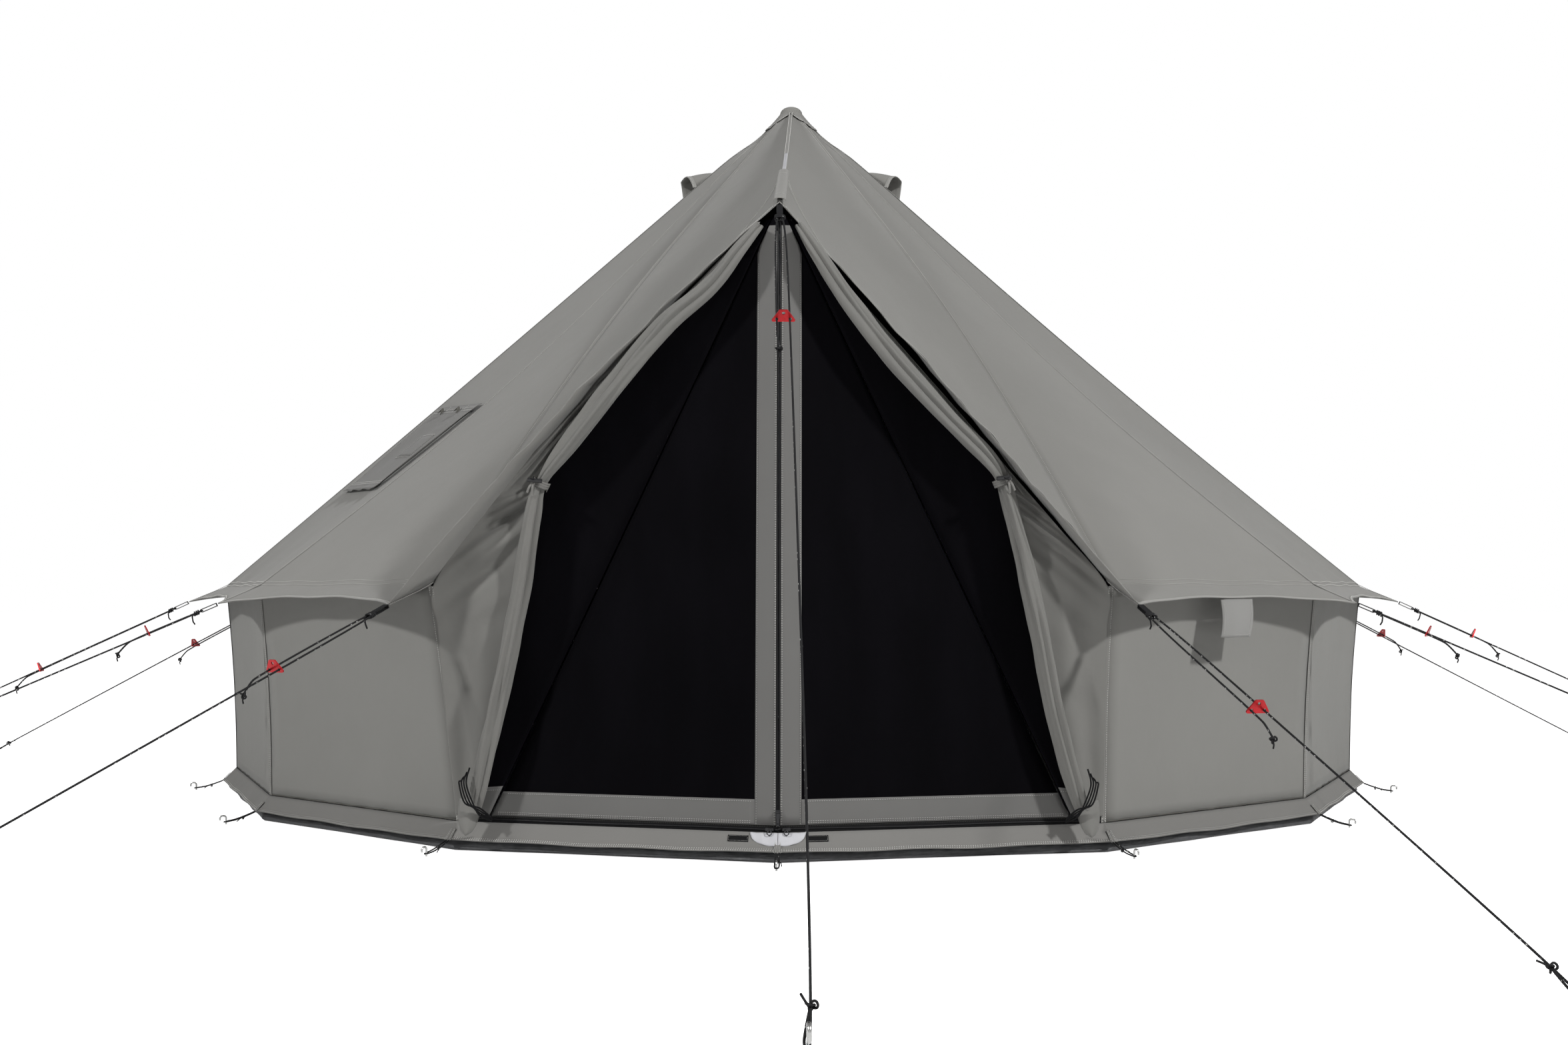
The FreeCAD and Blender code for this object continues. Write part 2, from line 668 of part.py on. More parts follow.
# Centre zip: its slider lies at the foot, with the pull hanging from it.
zdir = cent_top.sub(cent_low)
zdir.normalize()
zout = V(0, -zdir.z, zdir.y)
if zout.y > 0:
    zout = V(0, zdir.z, -zdir.y)
spos = cent_low.add(V(zdir.x * 34, zdir.y * 34, zdir.z * 34)).add(V(0, zout.y * 4.0, zout.z * 4.0))
m = FreeCAD.Matrix(1, zdir.x, 0, spos.x, 0, zdir.y, zout.y, spos.y, 0, zdir.z, zout.z, spos.z, 0, 0, 0, 1)
if m.determinant() < 0:
    m = FreeCAD.Matrix(-1, zdir.x, 0, spos.x, 0, zdir.y, zout.y, spos.y, 0, zdir.z, zout.z, spos.z, 0, 0, 0, 1)
PIVOT_UP, PIVOT_OUT = 6.0, 11.0
sw, sh, sd = D("slider_wide") / 2.0, D("slider_tall") / 2.0, D("slider_deep")
plate = Part.makeBox(2 * sw, 2 * sh, sd, V(-sw, -sh, 0))
plate = plate.makeFillet(2.4, [e for e in plate.Edges if abs(e.Vertexes[0].Point.z - e.Vertexes[1].Point.z) > 1.0])
bail = [Part.makeBox(1.8, 4.0, PIVOT_OUT - sd + 2.0, V(x, PIVOT_UP - 2.0, sd - 1.0)) for x in (-sw + 0.2, sw - 2.0)]
bar = Part.makeCylinder(1.1, 2 * sw - 0.4, V(-sw + 0.2, PIVOT_UP, PIVOT_OUT), V(1, 0, 0))
body_ = plate
for extra in bail + [bar]:
    body_ = body_.fuse(extra)
feature("centre_zip_slider", body_.removeSplitter(), FreeCAD.Placement(m))
pw, pt = D("pull_wide") / 2.0, D("pull_t") / 2.0
eye_out = Part.makeCylinder(2.9, 2 * pw, V(-pw, 0, 0), V(1, 0, 0))
leaf = Part.makeBox(2 * pw, D("pull_tall") - 3.0, 2 * pt, V(-pw, -D("pull_tall"), -pt))
tail_hole = Part.makeCylinder(2.0, 10.0, V(0, -D("pull_tall") + 7.0, -5.0), V(0, 0, 1))
pull = eye_out.fuse(leaf).cut(Part.makeCylinder(1.5, 4 * pw, V(-2 * pw, 0, 0), V(1, 0, 0))).cut(tail_hole).removeSplitter()
m2 = FreeCAD.Matrix(m)
ppos = m.multVec(V(0, PIVOT_UP, PIVOT_OUT))
m2.A14, m2.A24, m2.A34 = ppos.x, ppos.y, ppos.z
feature("centre_zip_pull", pull, FreeCAD.Placement(m2))
PULL_AXIS = ppos

# Cover flap for the zip ends, and two hook patches, on the mud flap.
def on_skirt(side, u, f):
    """Point on the front mud flap: u mm from the middle, f from top to hem."""
    r0, z0 = sk_out[0]
    r1, z1 = sk_out[1]
    a = at(0, r0 + (r1 - r0) * f, z0 + (z1 - z0) * f)
    return a.add(V(side * ux.x * u, ux.y * u, 0))


fl, hk = [], []
for side in (-1, 1):
    ring = [on_skirt(side, 0.6, 0.12), on_skirt(side, 86, 0.12), on_skirt(side, 62, 0.52), on_skirt(side, 0.6, 0.72)]
    patch = [on_skirt(side, 92, 0.2), on_skirt(side, 160, 0.2), on_skirt(side, 160, 0.5), on_skirt(side, 92, 0.5)]
    up = V(side * nx.x * 0.73, nx.y * 0.73, 0.684)

    def laid(pts, low, high):
        return block([p.add(V(up.x * high, up.y * high, up.z * high)) for p in pts],
                     [p.add(V(up.x * low, up.y * low, up.z * low)) for p in pts])
    fl.append(laid(ring, 0.8, 2.8))
    hk.append(laid(patch, 0.8, 2.8))
feature("threshold_flap", Part.makeCompound(fl))
feature("hook_patches", Part.makeCompound(hk))

# ---------------------------------------------------------------- roof fittings

def gore(k, u, r, up):
    """Point on the gore between corner lines k and k+1: u mm across from its
    middle, at corner radius r, up mm above the cloth."""
    t = (r - top_r) / (seam_r - top_r)
    p0, p1 = ridge(k, t), ridge(k + 1, t)
    mid = mix(p0, p1, 0.5)
    across = p1.sub(p0)
    across.normalize()
    down = mix(ridge(k, t + 0.02), ridge(k + 1, t + 0.02), 0.5).sub(mix(ridge(k, t - 0.02), ridge(k + 1, t - 0.02), 0.5))
    nrm = across.cross(down)
    nrm.normalize()
    if nrm.z < 0:
        nrm = nrm.multiply(-1.0)
    return mid.add(across.multiply(u)).add(nrm.multiply(up))


hoods, screens = [], []
for k in (3, -4):
    for u0, u1 in ((-52.0, 52.0),):
        def top_ring(up):
            return [gore(k, u0, 385.0, 2.0 + up), gore(k, u0 - 16, 500.0, 84.0 + up),
                    gore(k, u1 + 16, 500.0, 84.0 + up), gore(k, u1, 385.0, 2.0 + up)]
        hoods.append(block(top_ring(2.5), top_ring(0.0)))

        def cheek(u, spread, shift):
            return [gore(k, u + shift, 392.0, 2.0), gore(k, u + spread * 1.4 + shift, 512.0, 2.0),
                    gore(k, u + spread + shift, 500.0, 80.0), gore(k, u + shift, 392.0, 3.0)]
        hoods.append(block(cheek(u1, 16, -2.0), cheek(u1, 16, 0.0)))
        hoods.append(block(cheek(u0, -16, 2.0), cheek(u0, -16, 0.0)))

        def screen(shift):
            return [gore(k, u0 + 8, 470.0 + shift, 6.0), gore(k, u1 - 8, 470.0 + shift, 6.0),
                    gore(k, u1 - 8, 484.0 + shift, 58.0), gore(k, u0 + 8, 484.0 + shift, 58.0)]
        screens.append(block(screen(1.6), screen(0.0)))
feature("vent_hoods", Part.makeCompound(hoods))
feature("vent_screens", Part.makeCompound(screens))

# Stove-pipe patch and the flap that covers it, on the gore left of the door bay.
FK = -3
W = D("flap_wide") / 2.0
r_a = D("flap_hinge_r")
slope = math.hypot(seam_r - top_r, seam_z - top_z) / (seam_r - top_r)
r_b = r_a + D("flap_tall") / slope
SH = D("flap_shift")


def gore_sheet(u0, u1, ra, rb, up, t):
    rows = [[(u0 + (u1 - u0) * i / 3.0, ra + (rb - ra) * j / 4.0) for i in range(4)] for j in range(5)]
    return grid_solid([[gore(FK, u, r, up + t) for u, r in row] for row in rows],
                      [[gore(FK, u, r, up) for u, r in row] for row in rows])


feature("stove_patch", gore_sheet(-W + 40 + SH, W - 40 + SH, r_a + 36, r_b - 30, 3.0, 2.4))
feature("stove_flap", gore_sheet(-W + SH, W + SH, r_a, r_b, 8.0, 3.0))
HINGE_A, HINGE_B = gore(FK, -W + SH, r_a, 9.5), gore(FK, W + SH, r_a, 9.5)

# ---------------------------------------------------------------- guys

STAKE = {
    "front": (110.0, -4560.0),
    "r1": (1664.0, -4130.0), "l1": (-2186.0, -3990.0),
    "r2": (3580.0, -2420.0), "l2": (-3580.0, -2420.0),
    "r3": (4100.0, -940.0), "l3": (-4100.0, -940.0),
    "r4": (4100.0, 940.0), "l4": (-4100.0, 940.0),
}
for k, name in ((5, "r5"), (6, "r6"), (7, "rear"), (-5, "l5"), (-6, "l6")):
    a = k * STEP
    STAKE[name] = (4130.0 * math.sin(a), -4130.0 * math.cos(a))
CORNER = {"r1": 1, "r2": 2, "r3": 3, "r4": 4, "r5": 5, "r6": 6, "rear": 7,
          "l1": -1, "l2": -2, "l3": -3, "l4": -4, "l5": -5, "l6": -6}
LEG = 330.0
RR = D("rope_d") / 2.0
rope_solids, straps, stake_solids = {}, [], []
RUNNERS = {}
# how far each runner has been slid down its line from the webbing loop
LEGS = {"front": 634.0, "l1": 430.0, "r1": 674.0, "l2": 198.0, "r2": 196.0, "l3": 586.0, "r3": 258.0, "l4": 450.0}


def frame_of(name):
    sx, sy = STAKE[name]
    b = V(sx, sy, D("stake_rope_z"))
    if name == "front":
        a = V(0, -D("peak_y") - 8.0, D("peak_z") - 16.0)
    else:
        k = CORNER[name]
        out = b.sub(at(k, eave_r, eave_z))
        out.normalize()
        a = at(k, eave_r, eave_z - 2.0).add(V(out.x * 3.5, out.y * 3.5, out.z * 3.5))
    e = b.sub(a)
    length = e.Length
    e.normalize()
    w = e.cross(V(0, 0, 1))
    w.normalize()
    v = w.cross(e)
    return a, e, w, v, length


def local(fr, p):
    a, e, w, v, _ = fr
    return a.add(V(e.x * p[0] + w.x * p[1] + v.x * p[2],
                   e.y * p[0] + w.y * p[1] + v.y * p[2],
                   e.z * p[0] + w.z * p[1] + v.z * p[2]))


def turn_of(fr, p):
    """Placement with its own X across, Y up and Z along the guy."""
    a, e, w, v, _ = fr
    o = local(fr, p)
    m = FreeCAD.Matrix(w.x, v.x, -e.x, o.x, w.y, v.y, -e.y, o.y, w.z, v.z, -e.z, o.z, 0, 0, 0, 1)
    return FreeCAD.Placement(m)


for name in ["front", "r1", "r2", "r3", "r4", "r5", "r6", "rear", "l1", "l2", "l3", "l4", "l5", "l6"]:
    fr = frame_of(name)
    L = fr[4]
    ring = D("strap_len") - D("strap_t") - RR - 2.6
    run = ring + LEGS.get(name, LEG)
    pts = [(L + 11.0, 0.0, 0.0), (L + 11.0, -11.0, 0.0), (run, -20.0, 0.0), (ring, -16.0, 0.0),
           (ring, 16.0, 0.0), (run + 52.0, 20.6, 0.0), (run + 84.0, 19.0, -7.0), (run + 116.0, 15.0, -24.0)]
    main = tube("guy_" + name, [local(fr, p) for p in pts], RR, {1: 10.4, 2: 300.0, 3: 12.5, 4: 12.5})
    eye = [(L + 11.0, 0.05, 0.0), (L + 11.0, 11.0, 0.0), (L - 74.0, -11.4 + 2 * RR + 1.0, 0.0)]
    back = tube("eye_" + name, [local(fr, p) for p in eye], RR, {1: 8.0}, False)
    rope_solids[name] = [main, back]
    # webbing loop: a flattened ring whose eye runs across the guy
    s, t, wd = D("strap_len"), D("strap_t"), D("strap_wide")
    hh = D("strap_tall") / 2.0

    def oval(x0, x1, half, width):
        ring_pts = [(x0, half), (x1 - half, half)]
        w1 = Part.Wire([
            Part.LineSegment(V(x0, 0, half), V(x1 - half, 0, half)).toShape(),
            Part.Arc(V(x1 - half, 0, half), V(x1, 0, 0), V(x1 - half, 0, -half)).toShape(),
            Part.LineSegment(V(x1 - half, 0, -half), V(x0, 0, -half)).toShape(),
            Part.LineSegment(V(x0, 0, -half), V(x0, 0, half)).toShape()])
        f = Part.Face(w1)
        sol = f.extrude(V(0, width, 0))
        sol.translate(V(0, -width / 2.0, 0))
        return sol
    loop = oval(0.0, s, hh, wd).cut(oval(t, s - t, hh - t, wd + 4.0))
    a, e, w, v, _ = fr
    m = FreeCAD.Matrix(e.x, w.x, v.x, a.x, e.y, w.y, v.y, a.y, e.z, w.z, v.z, a.z, 0, 0, 0, 1)
    if m.determinant() < 0:
        m = FreeCAD.Matrix(e.x, -w.x, v.x, a.x, e.y, -w.y, v.y, a.y, e.z, -w.z, v.z, a.z, 0, 0, 0, 1)
    loop.transformShape(m)
    straps.append((name, loop))
    # stake: the crook above the ground
    sx, sy = STAKE[name]
    d = V(e.x, e.y, 0)
    d.normalize()
    q = [V(sx, sy, 0), V(sx, sy, D("stake_tall")), V(sx + d.x * 30, sy + d.y * 30, D("stake_tall")),
         V(sx + d.x * 30, sy + d.y * 30, D("stake_tall") - 26.0)]
    stake_solids.append(tube("stake", q, D("stake_r"), {1: 12.0, 2: 11.0}, False))
    RUNNERS[name] = (fr, run)

REAR = ("r5", "r6", "rear", "l5", "l6")
for name, solids in rope_solids.items():
    if name not in REAR:
        feature("guy_rope_" + name, Part.makeCompound(solids))
feature("guy_ropes_rear", Part.makeCompound([s for n in REAR for s in rope_solids[n]]))
feature("front_webbing", [s for n, s in straps if n == "front"][0])
feature("eave_loops", Part.makeCompound([s for n, s in straps if n != "front"]))
feature("guy_stakes", Part.makeCompound(stake_solids))

for name, (fr, run) in RUNNERS.items():
    pl_ = turn_of(fr, (run + D("runner_t") / 2.0, 0.0, 0.0))
    padded("guy_runner_" + name,
           [("-Dims.runner_base/2", "-9"), ("Dims.runner_base/2", "-9"), ("12", "Dims.runner_tall-9"), ("-12", "Dims.runner_tall-9")],
           "Dims.runner_t",
           holes=[("-Dims.runner_hole_x", "0", "Dims.runner_hole_d"), ("Dims.runner_hole_x", "0", "Dims.runner_hole_d"),
                  ("0", "Dims.runner_hole_y", "Dims.runner_hole_d")],
           placement=pl_, rounds=5.0)

# ---------------------------------------------------------------- skirt pegs

pegs, loops = [], []
for k in range(N):
    a = k * STEP
    d = V(math.sin(a), -math.cos(a), 0)
    w = V(math.cos(a), math.sin(a), 0)
    R0 = D("peg_ring_r")

    def P(r, side, z):
        return V(d.x * r + w.x * side, d.y * r + w.y * side, z)
    q = [P(R0, 0, 0), P(R0, 0, 30.0), P(R0 + 22.0, 0, 30.0), P(R0 + 22.0, 0, 15.0)]
    pegs.append(tube("peg", q, D("peg_r"), {1: 9.0, 2: 8.0}, False))
    rr = D("peg_loop_d") / 2.0
    q = [P(D("skirt_hem_r") + 3.2, -5.0, 37.0), P(R0 - 50.0, -7.0, 15.0), P(R0 + 7.0, -7.0, 8.0), P(R0 + 7.0, 7.0, 8.0),
         P(R0 - 50.0, 7.0, 15.0), P(D("skirt_hem_r") + 3.2, 5.0, 37.0)]
    loops.append(tube("peg_loop", q, rr, {2: 6.2, 3: 6.2}, False))
feature("skirt_pegs", Part.makeCompound(pegs))
feature("peg_loops", Part.makeCompound(loops))

# ---------------------------------------------------------------- write

doc.recompute()
bad = [o.Name for o in doc.Objects if any(st in ("Invalid", "Error") for st in o.State)]
if bad:
    raise SystemExit("failed objects: %s" % bad)
os.makedirs("parts", exist_ok=True)
for o in subparts:
    shape = o.Shape
    if shape.isNull() or not shape.isValid() or not shape.Solids:
        raise SystemExit("bad shape: " + o.Label)
    if shape.Volume <= 0 or any(s.Volume <= 0 for s in shape.Solids):
        raise SystemExit("bad volume: " + o.Label)
for o in subparts:
    o.Shape.exportStep("parts/%s.step" % o.Label)
print("hinge", HINGE_A, HINGE_B)
print("pull", PULL_AXIS, "zip", zdir, spos)
for name, (fr, run) in RUNNERS.items():
    print("runner", name, [round(c, 2) for c in local(fr, (run, 0, 0))], [round(c, 5) for c in fr[1]], round(fr[4], 1))
print(len(subparts), "sub-parts")
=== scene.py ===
import bpy
import bmesh
import math
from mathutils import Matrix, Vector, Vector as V, noise


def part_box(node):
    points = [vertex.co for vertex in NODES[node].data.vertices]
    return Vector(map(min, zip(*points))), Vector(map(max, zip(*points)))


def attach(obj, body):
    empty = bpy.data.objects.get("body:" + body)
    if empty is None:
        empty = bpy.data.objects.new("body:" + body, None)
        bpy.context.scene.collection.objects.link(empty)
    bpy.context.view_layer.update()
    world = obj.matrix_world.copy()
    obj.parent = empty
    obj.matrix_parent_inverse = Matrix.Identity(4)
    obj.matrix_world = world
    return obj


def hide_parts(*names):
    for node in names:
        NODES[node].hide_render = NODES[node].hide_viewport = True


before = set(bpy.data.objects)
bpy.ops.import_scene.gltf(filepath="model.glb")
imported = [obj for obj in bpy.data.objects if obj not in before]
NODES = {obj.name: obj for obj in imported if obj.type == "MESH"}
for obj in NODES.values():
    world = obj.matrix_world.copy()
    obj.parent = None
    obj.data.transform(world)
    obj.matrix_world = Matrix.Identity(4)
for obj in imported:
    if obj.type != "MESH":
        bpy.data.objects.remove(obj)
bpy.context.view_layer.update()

pi = math.pi
N = 14
STEP = 2.0 * pi / N

# ------------------------------------------------------------------ camera
cam_data = bpy.data.cameras.new("camera")
cam_data.sensor_width = 36.0
cam_data.lens = 38.26
cam_data.clip_end = 200.0
cam = bpy.data.objects.new("camera", cam_data)
cam.location = (0.1309, -7.5888, 0.8345)
cam.rotation_euler = (math.radians(92.386), 0.0, math.radians(1.239))
bpy.context.scene.collection.objects.link(cam)
bpy.context.scene.camera = cam


# ------------------------------------------------------------------ nodes
def nd(mat, kind, **inputs):
    n = mat.node_tree.nodes.new(kind)
    for key, value in inputs.items():
        if key in n.inputs:
            n.inputs[key].default_value = value
        else:
            setattr(n, key, value)
    return n


def start(name, **consts):
    m = bpy.data.materials.new(name)
    m.use_nodes = True
    nt = m.node_tree
    b = nt.nodes["Principled BSDF"]
    for key, value in consts.items():
        b.inputs[key.replace("_", " ")].default_value = value
    return m, b, nt.links.new


def uv_of(m):
    n = m.node_tree.nodes.new("ShaderNodeUVMap")
    n.uv_map = "UVMap"
    return n.outputs["UV"]


def obj_of(m):
    return m.node_tree.nodes.new("ShaderNodeTexCoord").outputs["Object"]


def scaled(m, vec, scale, rot=(0, 0, 0)):
    n = m.node_tree.nodes.new("ShaderNodeMapping")
    n.inputs["Scale"].default_value = scale
    n.inputs["Rotation"].default_value = rot
    m.node_tree.links.new(vec, n.inputs["Vector"])
    return n.outputs["Vector"]


def noise_tex(m, vec, scale, detail=3.0, rough=0.55):
    n = m.node_tree.nodes.new("ShaderNodeTexNoise")
    n.inputs["Scale"].default_value = scale
    n.inputs["Detail"].default_value = detail
    n.inputs["Roughness"].default_value = rough
    m.node_tree.links.new(vec, n.inputs["Vector"])
    return n.outputs["Fac"]


def wave_tex(m, vec, pitch, direction, distort=0.0, profile="SIN"):
    n = m.node_tree.nodes.new("ShaderNodeTexWave")
    n.wave_type = "BANDS"
    n.bands_direction = direction
    n.wave_profile = profile
    n.inputs["Scale"].default_value = 0.3142 / pitch
    n.inputs["Distortion"].default_value = distort
    m.node_tree.links.new(vec, n.inputs["Vector"])
    return n.outputs["Fac"]


def math_node(m, op, a, b=None, c=None):
    n = m.node_tree.nodes.new("ShaderNodeMath")
    n.operation = op
    for i, x in enumerate((a, b, c)):
        if x is None:
            continue
        if isinstance(x, (int, float)):
            n.inputs[i].default_value = x
        else:
            m.node_tree.links.new(x, n.inputs[i])
    return n.outputs[0]


def ramp(m, fac, stops):
    n = m.node_tree.nodes.new("ShaderNodeValToRGB")
    r = n.color_ramp
    while len(r.elements) < len(stops):
        r.elements.new(0.5)
    for e, (pos, col) in zip(r.elements, stops):
        e.position = pos
        e.color = (*col, 1.0)
    m.node_tree.links.new(fac, n.inputs["Fac"])
    return n.outputs["Color"]


def bump(m, height, strength, distance, under=None):
    n = m.node_tree.nodes.new("ShaderNodeBump")
    n.inputs["Strength"].default_value = strength
    n.inputs["Distance"].default_value = distance
    m.node_tree.links.new(height, n.inputs["Height"])
    if under is not None:
        m.node_tree.links.new(under, n.inputs["Normal"])
    return n.outputs["Normal"]


def shade(c, f):
    return tuple(min(1.0, x * f) for x in c)


def cloth_mat(name, base, pitch=0.0011, wrinkle=0.10, spread=0.07, rough=0.86, sheen=0.12, weave=0.35):
    """Plain woven cloth: two thread directions, slubs, soft creases and faint uneven dye."""
    m, b, link = start(name, Sheen_Weight=sheen, Sheen_Roughness=0.5)
    uv, ob = uv_of(m), obj_of(m)
    wx = wave_tex(m, uv, pitch, "X", 0.8)
    wy = wave_tex(m, uv, pitch * 1.12, "Y", 0.8)
    over = math_node(m, "MULTIPLY", math_node(m, "SUBTRACT", wx, 0.5), math_node(m, "SUBTRACT", wy, 0.5))
    threads = math_node(m, "ADD", math_node(m, "MULTIPLY", over, 1.6), 0.5)
    slub = noise_tex(m, scaled(m, uv, (1.0, 0.12, 1.0)), 420.0, 2.0)
    fine = noise_tex(m, uv, 260.0, 3.0, 0.6)
    dye = noise_tex(m, ob, 1.7, 4.0, 0.55)
    soft = noise_tex(m, ob, 9.0, 3.0, 0.5)
    mixv = math_node(m, "ADD", math_node(m, "MULTIPLY", dye, 0.62), math_node(m, "MULTIPLY", fine, 0.26))
    mixv = math_node(m, "ADD", mixv, math_node(m, "MULTIPLY", threads, 0.12))
    col = ramp(m, mixv, [(0.28, shade(base, 1.0 - spread)), (0.5, base), (0.72, shade(base, 1.0 + spread))])
    link(col, b.inputs["Base Color"])
    link(math_node(m, "ADD", math_node(m, "MULTIPLY", fine, 0.14), rough - 0.07), b.inputs["Roughness"])
    n1 = bump(m, soft, wrinkle, 0.02)
    n2 = bump(m, math_node(m, "ADD", threads, math_node(m, "MULTIPLY", slub, 0.6)), weave, 0.00025, n1)
    link(n2, b.inputs["Normal"])
    return m


def mesh_mat(name, base=(0.0021, 0.0019, 0.0026)):
    """Fine black insect mesh: an open square grid with a dull sheen."""
    m, b, link = start(name, Sheen_Weight=0.0, Specular_IOR_Level=0.02)
    uv, ob = uv_of(m), obj_of(m)
    gx = wave_tex(m, uv, 0.0016, "X")
    gy = wave_tex(m, uv, 0.0016, "Y")
    grid = math_node(m, "MAXIMUM", gx, gy)
    haze = noise_tex(m, scaled(m, ob, (1.0, 1.0, 0.35)), 5.0, 4.0)
    col = ramp(m, math_node(m, "ADD", math_node(m, "MULTIPLY", grid, 0.35), math_node(m, "MULTIPLY", haze, 0.65)),
               [(0.3, shade(base, 0.5)), (0.6, base), (0.9, shade(base, 1.9))])
    link(col, b.inputs["Base Color"])
    link(math_node(m, "ADD", math_node(m, "MULTIPLY", haze, 0.2), 0.62), b.inputs["Roughness"])
    n1 = bump(m, haze, 0.25, 0.03)
    link(bump(m, grid, 0.5, 0.0003, n1), b.inputs["Normal"])
    return m


def cord_mat(name):
    """Braided black line with small pale reflective flecks. UV: u round, v along, in metres."""
    m, b, link = start(name, Specular_IOR_Level=0.16)
    uv = uv_of(m)
    a = wave_tex(m, scaled(m, uv, (0.0045, 1.0, 1.0), (0, 0, 0.78)), 0.0021, "X")
    c = wave_tex(m, scaled(m, uv, (0.0045, 1.0, 1.0), (0, 0, -0.78)), 0.0021, "X")
    braid = math_node(m, "MAXIMUM", a, c)
    vor = m.node_tree.nodes.new("ShaderNodeTexVoronoi")
    vor.inputs["Scale"].default_value = 1.0
    vor.inputs["Randomness"].default_value = 0.25
    link(scaled(m, uv, (2.0, 42.0, 1.0)), vor.inputs["Vector"])
    fleck = math_node(m, "LESS_THAN", vor.outputs["Distance"], 0.125)
    body = ramp(m, braid, [(0.2, (0.003, 0.003, 0.0035)), (0.9, (0.015, 0.015, 0.016))])
    mx = m.node_tree.nodes.new("ShaderNodeMix")
    mx.data_type = "RGBA"
    link(fleck, mx.inputs["Factor"])
    link(body, mx.inputs["A"])
    mx.inputs["B"].default_value = (0.55, 0.55, 0.54, 1.0)
    link(mx.outputs["Result"], b.inputs["Base Color"])
    link(math_node(m, "SUBTRACT", 0.62, math_node(m, "MULTIPLY", fleck, 0.3)), b.inputs["Roughness"])
    link(bump(m, braid, 0.7, 0.0006), b.inputs["Normal"])
    return m


def web_mat(name, base, pitch=0.0024):
    m, b, link = start(name, Sheen_Weight=0.0, Specular_IOR_Level=0.14)
    ob = obj_of(m)
    r = wave_tex(m, scaled(m, ob, (1, 1, 1), (0.3, 0.5, 0.4)), pitch, "DIAGONAL", 0.5)
    f = noise_tex(m, ob, 600.0, 2.0)
    col = ramp(m, math_node(m, "ADD", math_node(m, "MULTIPLY", r, 0.5), math_node(m, "MULTIPLY", f, 0.5)),
               [(0.25, shade(base, 0.6)), (0.75, shade(base, 1.35))])
    link(col, b.inputs["Base Color"])
    link(math_node(m, "ADD", math_node(m, "MULTIPLY", f, 0.2), 0.6), b.inputs["Roughness"])
    link(bump(m, r, 0.6, 0.0006), b.inputs["Normal"])
    return m


def metal_mat(name, base, rough=0.3, metallic=1.0, streak=(60.0, 60.0, 6.0), coat=0.0, dirt=0.12):
    m, b, link = start(name, Metallic=metallic, Coat_Weight=coat, Coat_Roughness=0.12)
    ob = obj_of(m)
    f = noise_tex(m, scaled(m, ob, streak), 6.0, 4.0, 0.65)
    g = noise_tex(m, ob, 38.0, 3.0)
    col = ramp(m, math_node(m, "ADD", math_node(m, "MULTIPLY", f, 0.4), math_node(m, "MULTIPLY", g, 0.6)),
               [(0.3, shade(base, 1.0 - dirt)), (0.55, base), (0.8, shade(base, 1.0 + dirt * 0.7))])
    link(col, b.inputs["Base Color"])
    link(math_node(m, "ADD", math_node(m, "MULTIPLY", f, 0.22), rough - 0.11), b.inputs["Roughness"])
    link(bump(m, f, 0.12, 0.0004), b.inputs["Normal"])
    return m


def plain_mat(name, base, rough=0.5, grain=220.0, depth=0.0003, strength=0.25, dirt=0.15, spec=0.5):
    m, b, link = start(name, Specular_IOR_Level=spec)
    ob = obj_of(m)
    f = noise_tex(m, ob, grain, 3.0)
    g = noise_tex(m, ob, 14.0, 3.0)
    col = ramp(m, math_node(m, "ADD", math_node(m, "MULTIPLY", f, 0.35), math_node(m, "MULTIPLY", g, 0.65)),
               [(0.3, shade(base, 1.0 - dirt)), (0.7, shade(base, 1.0 + dirt))])
    link(col, b.inputs["Base Color"])
    link(math_node(m, "ADD", math_node(m, "MULTIPLY", g, 0.2), rough - 0.1), b.inputs["Roughness"])
    link(bump(m, f, strength, depth), b.inputs["Normal"])
    return m


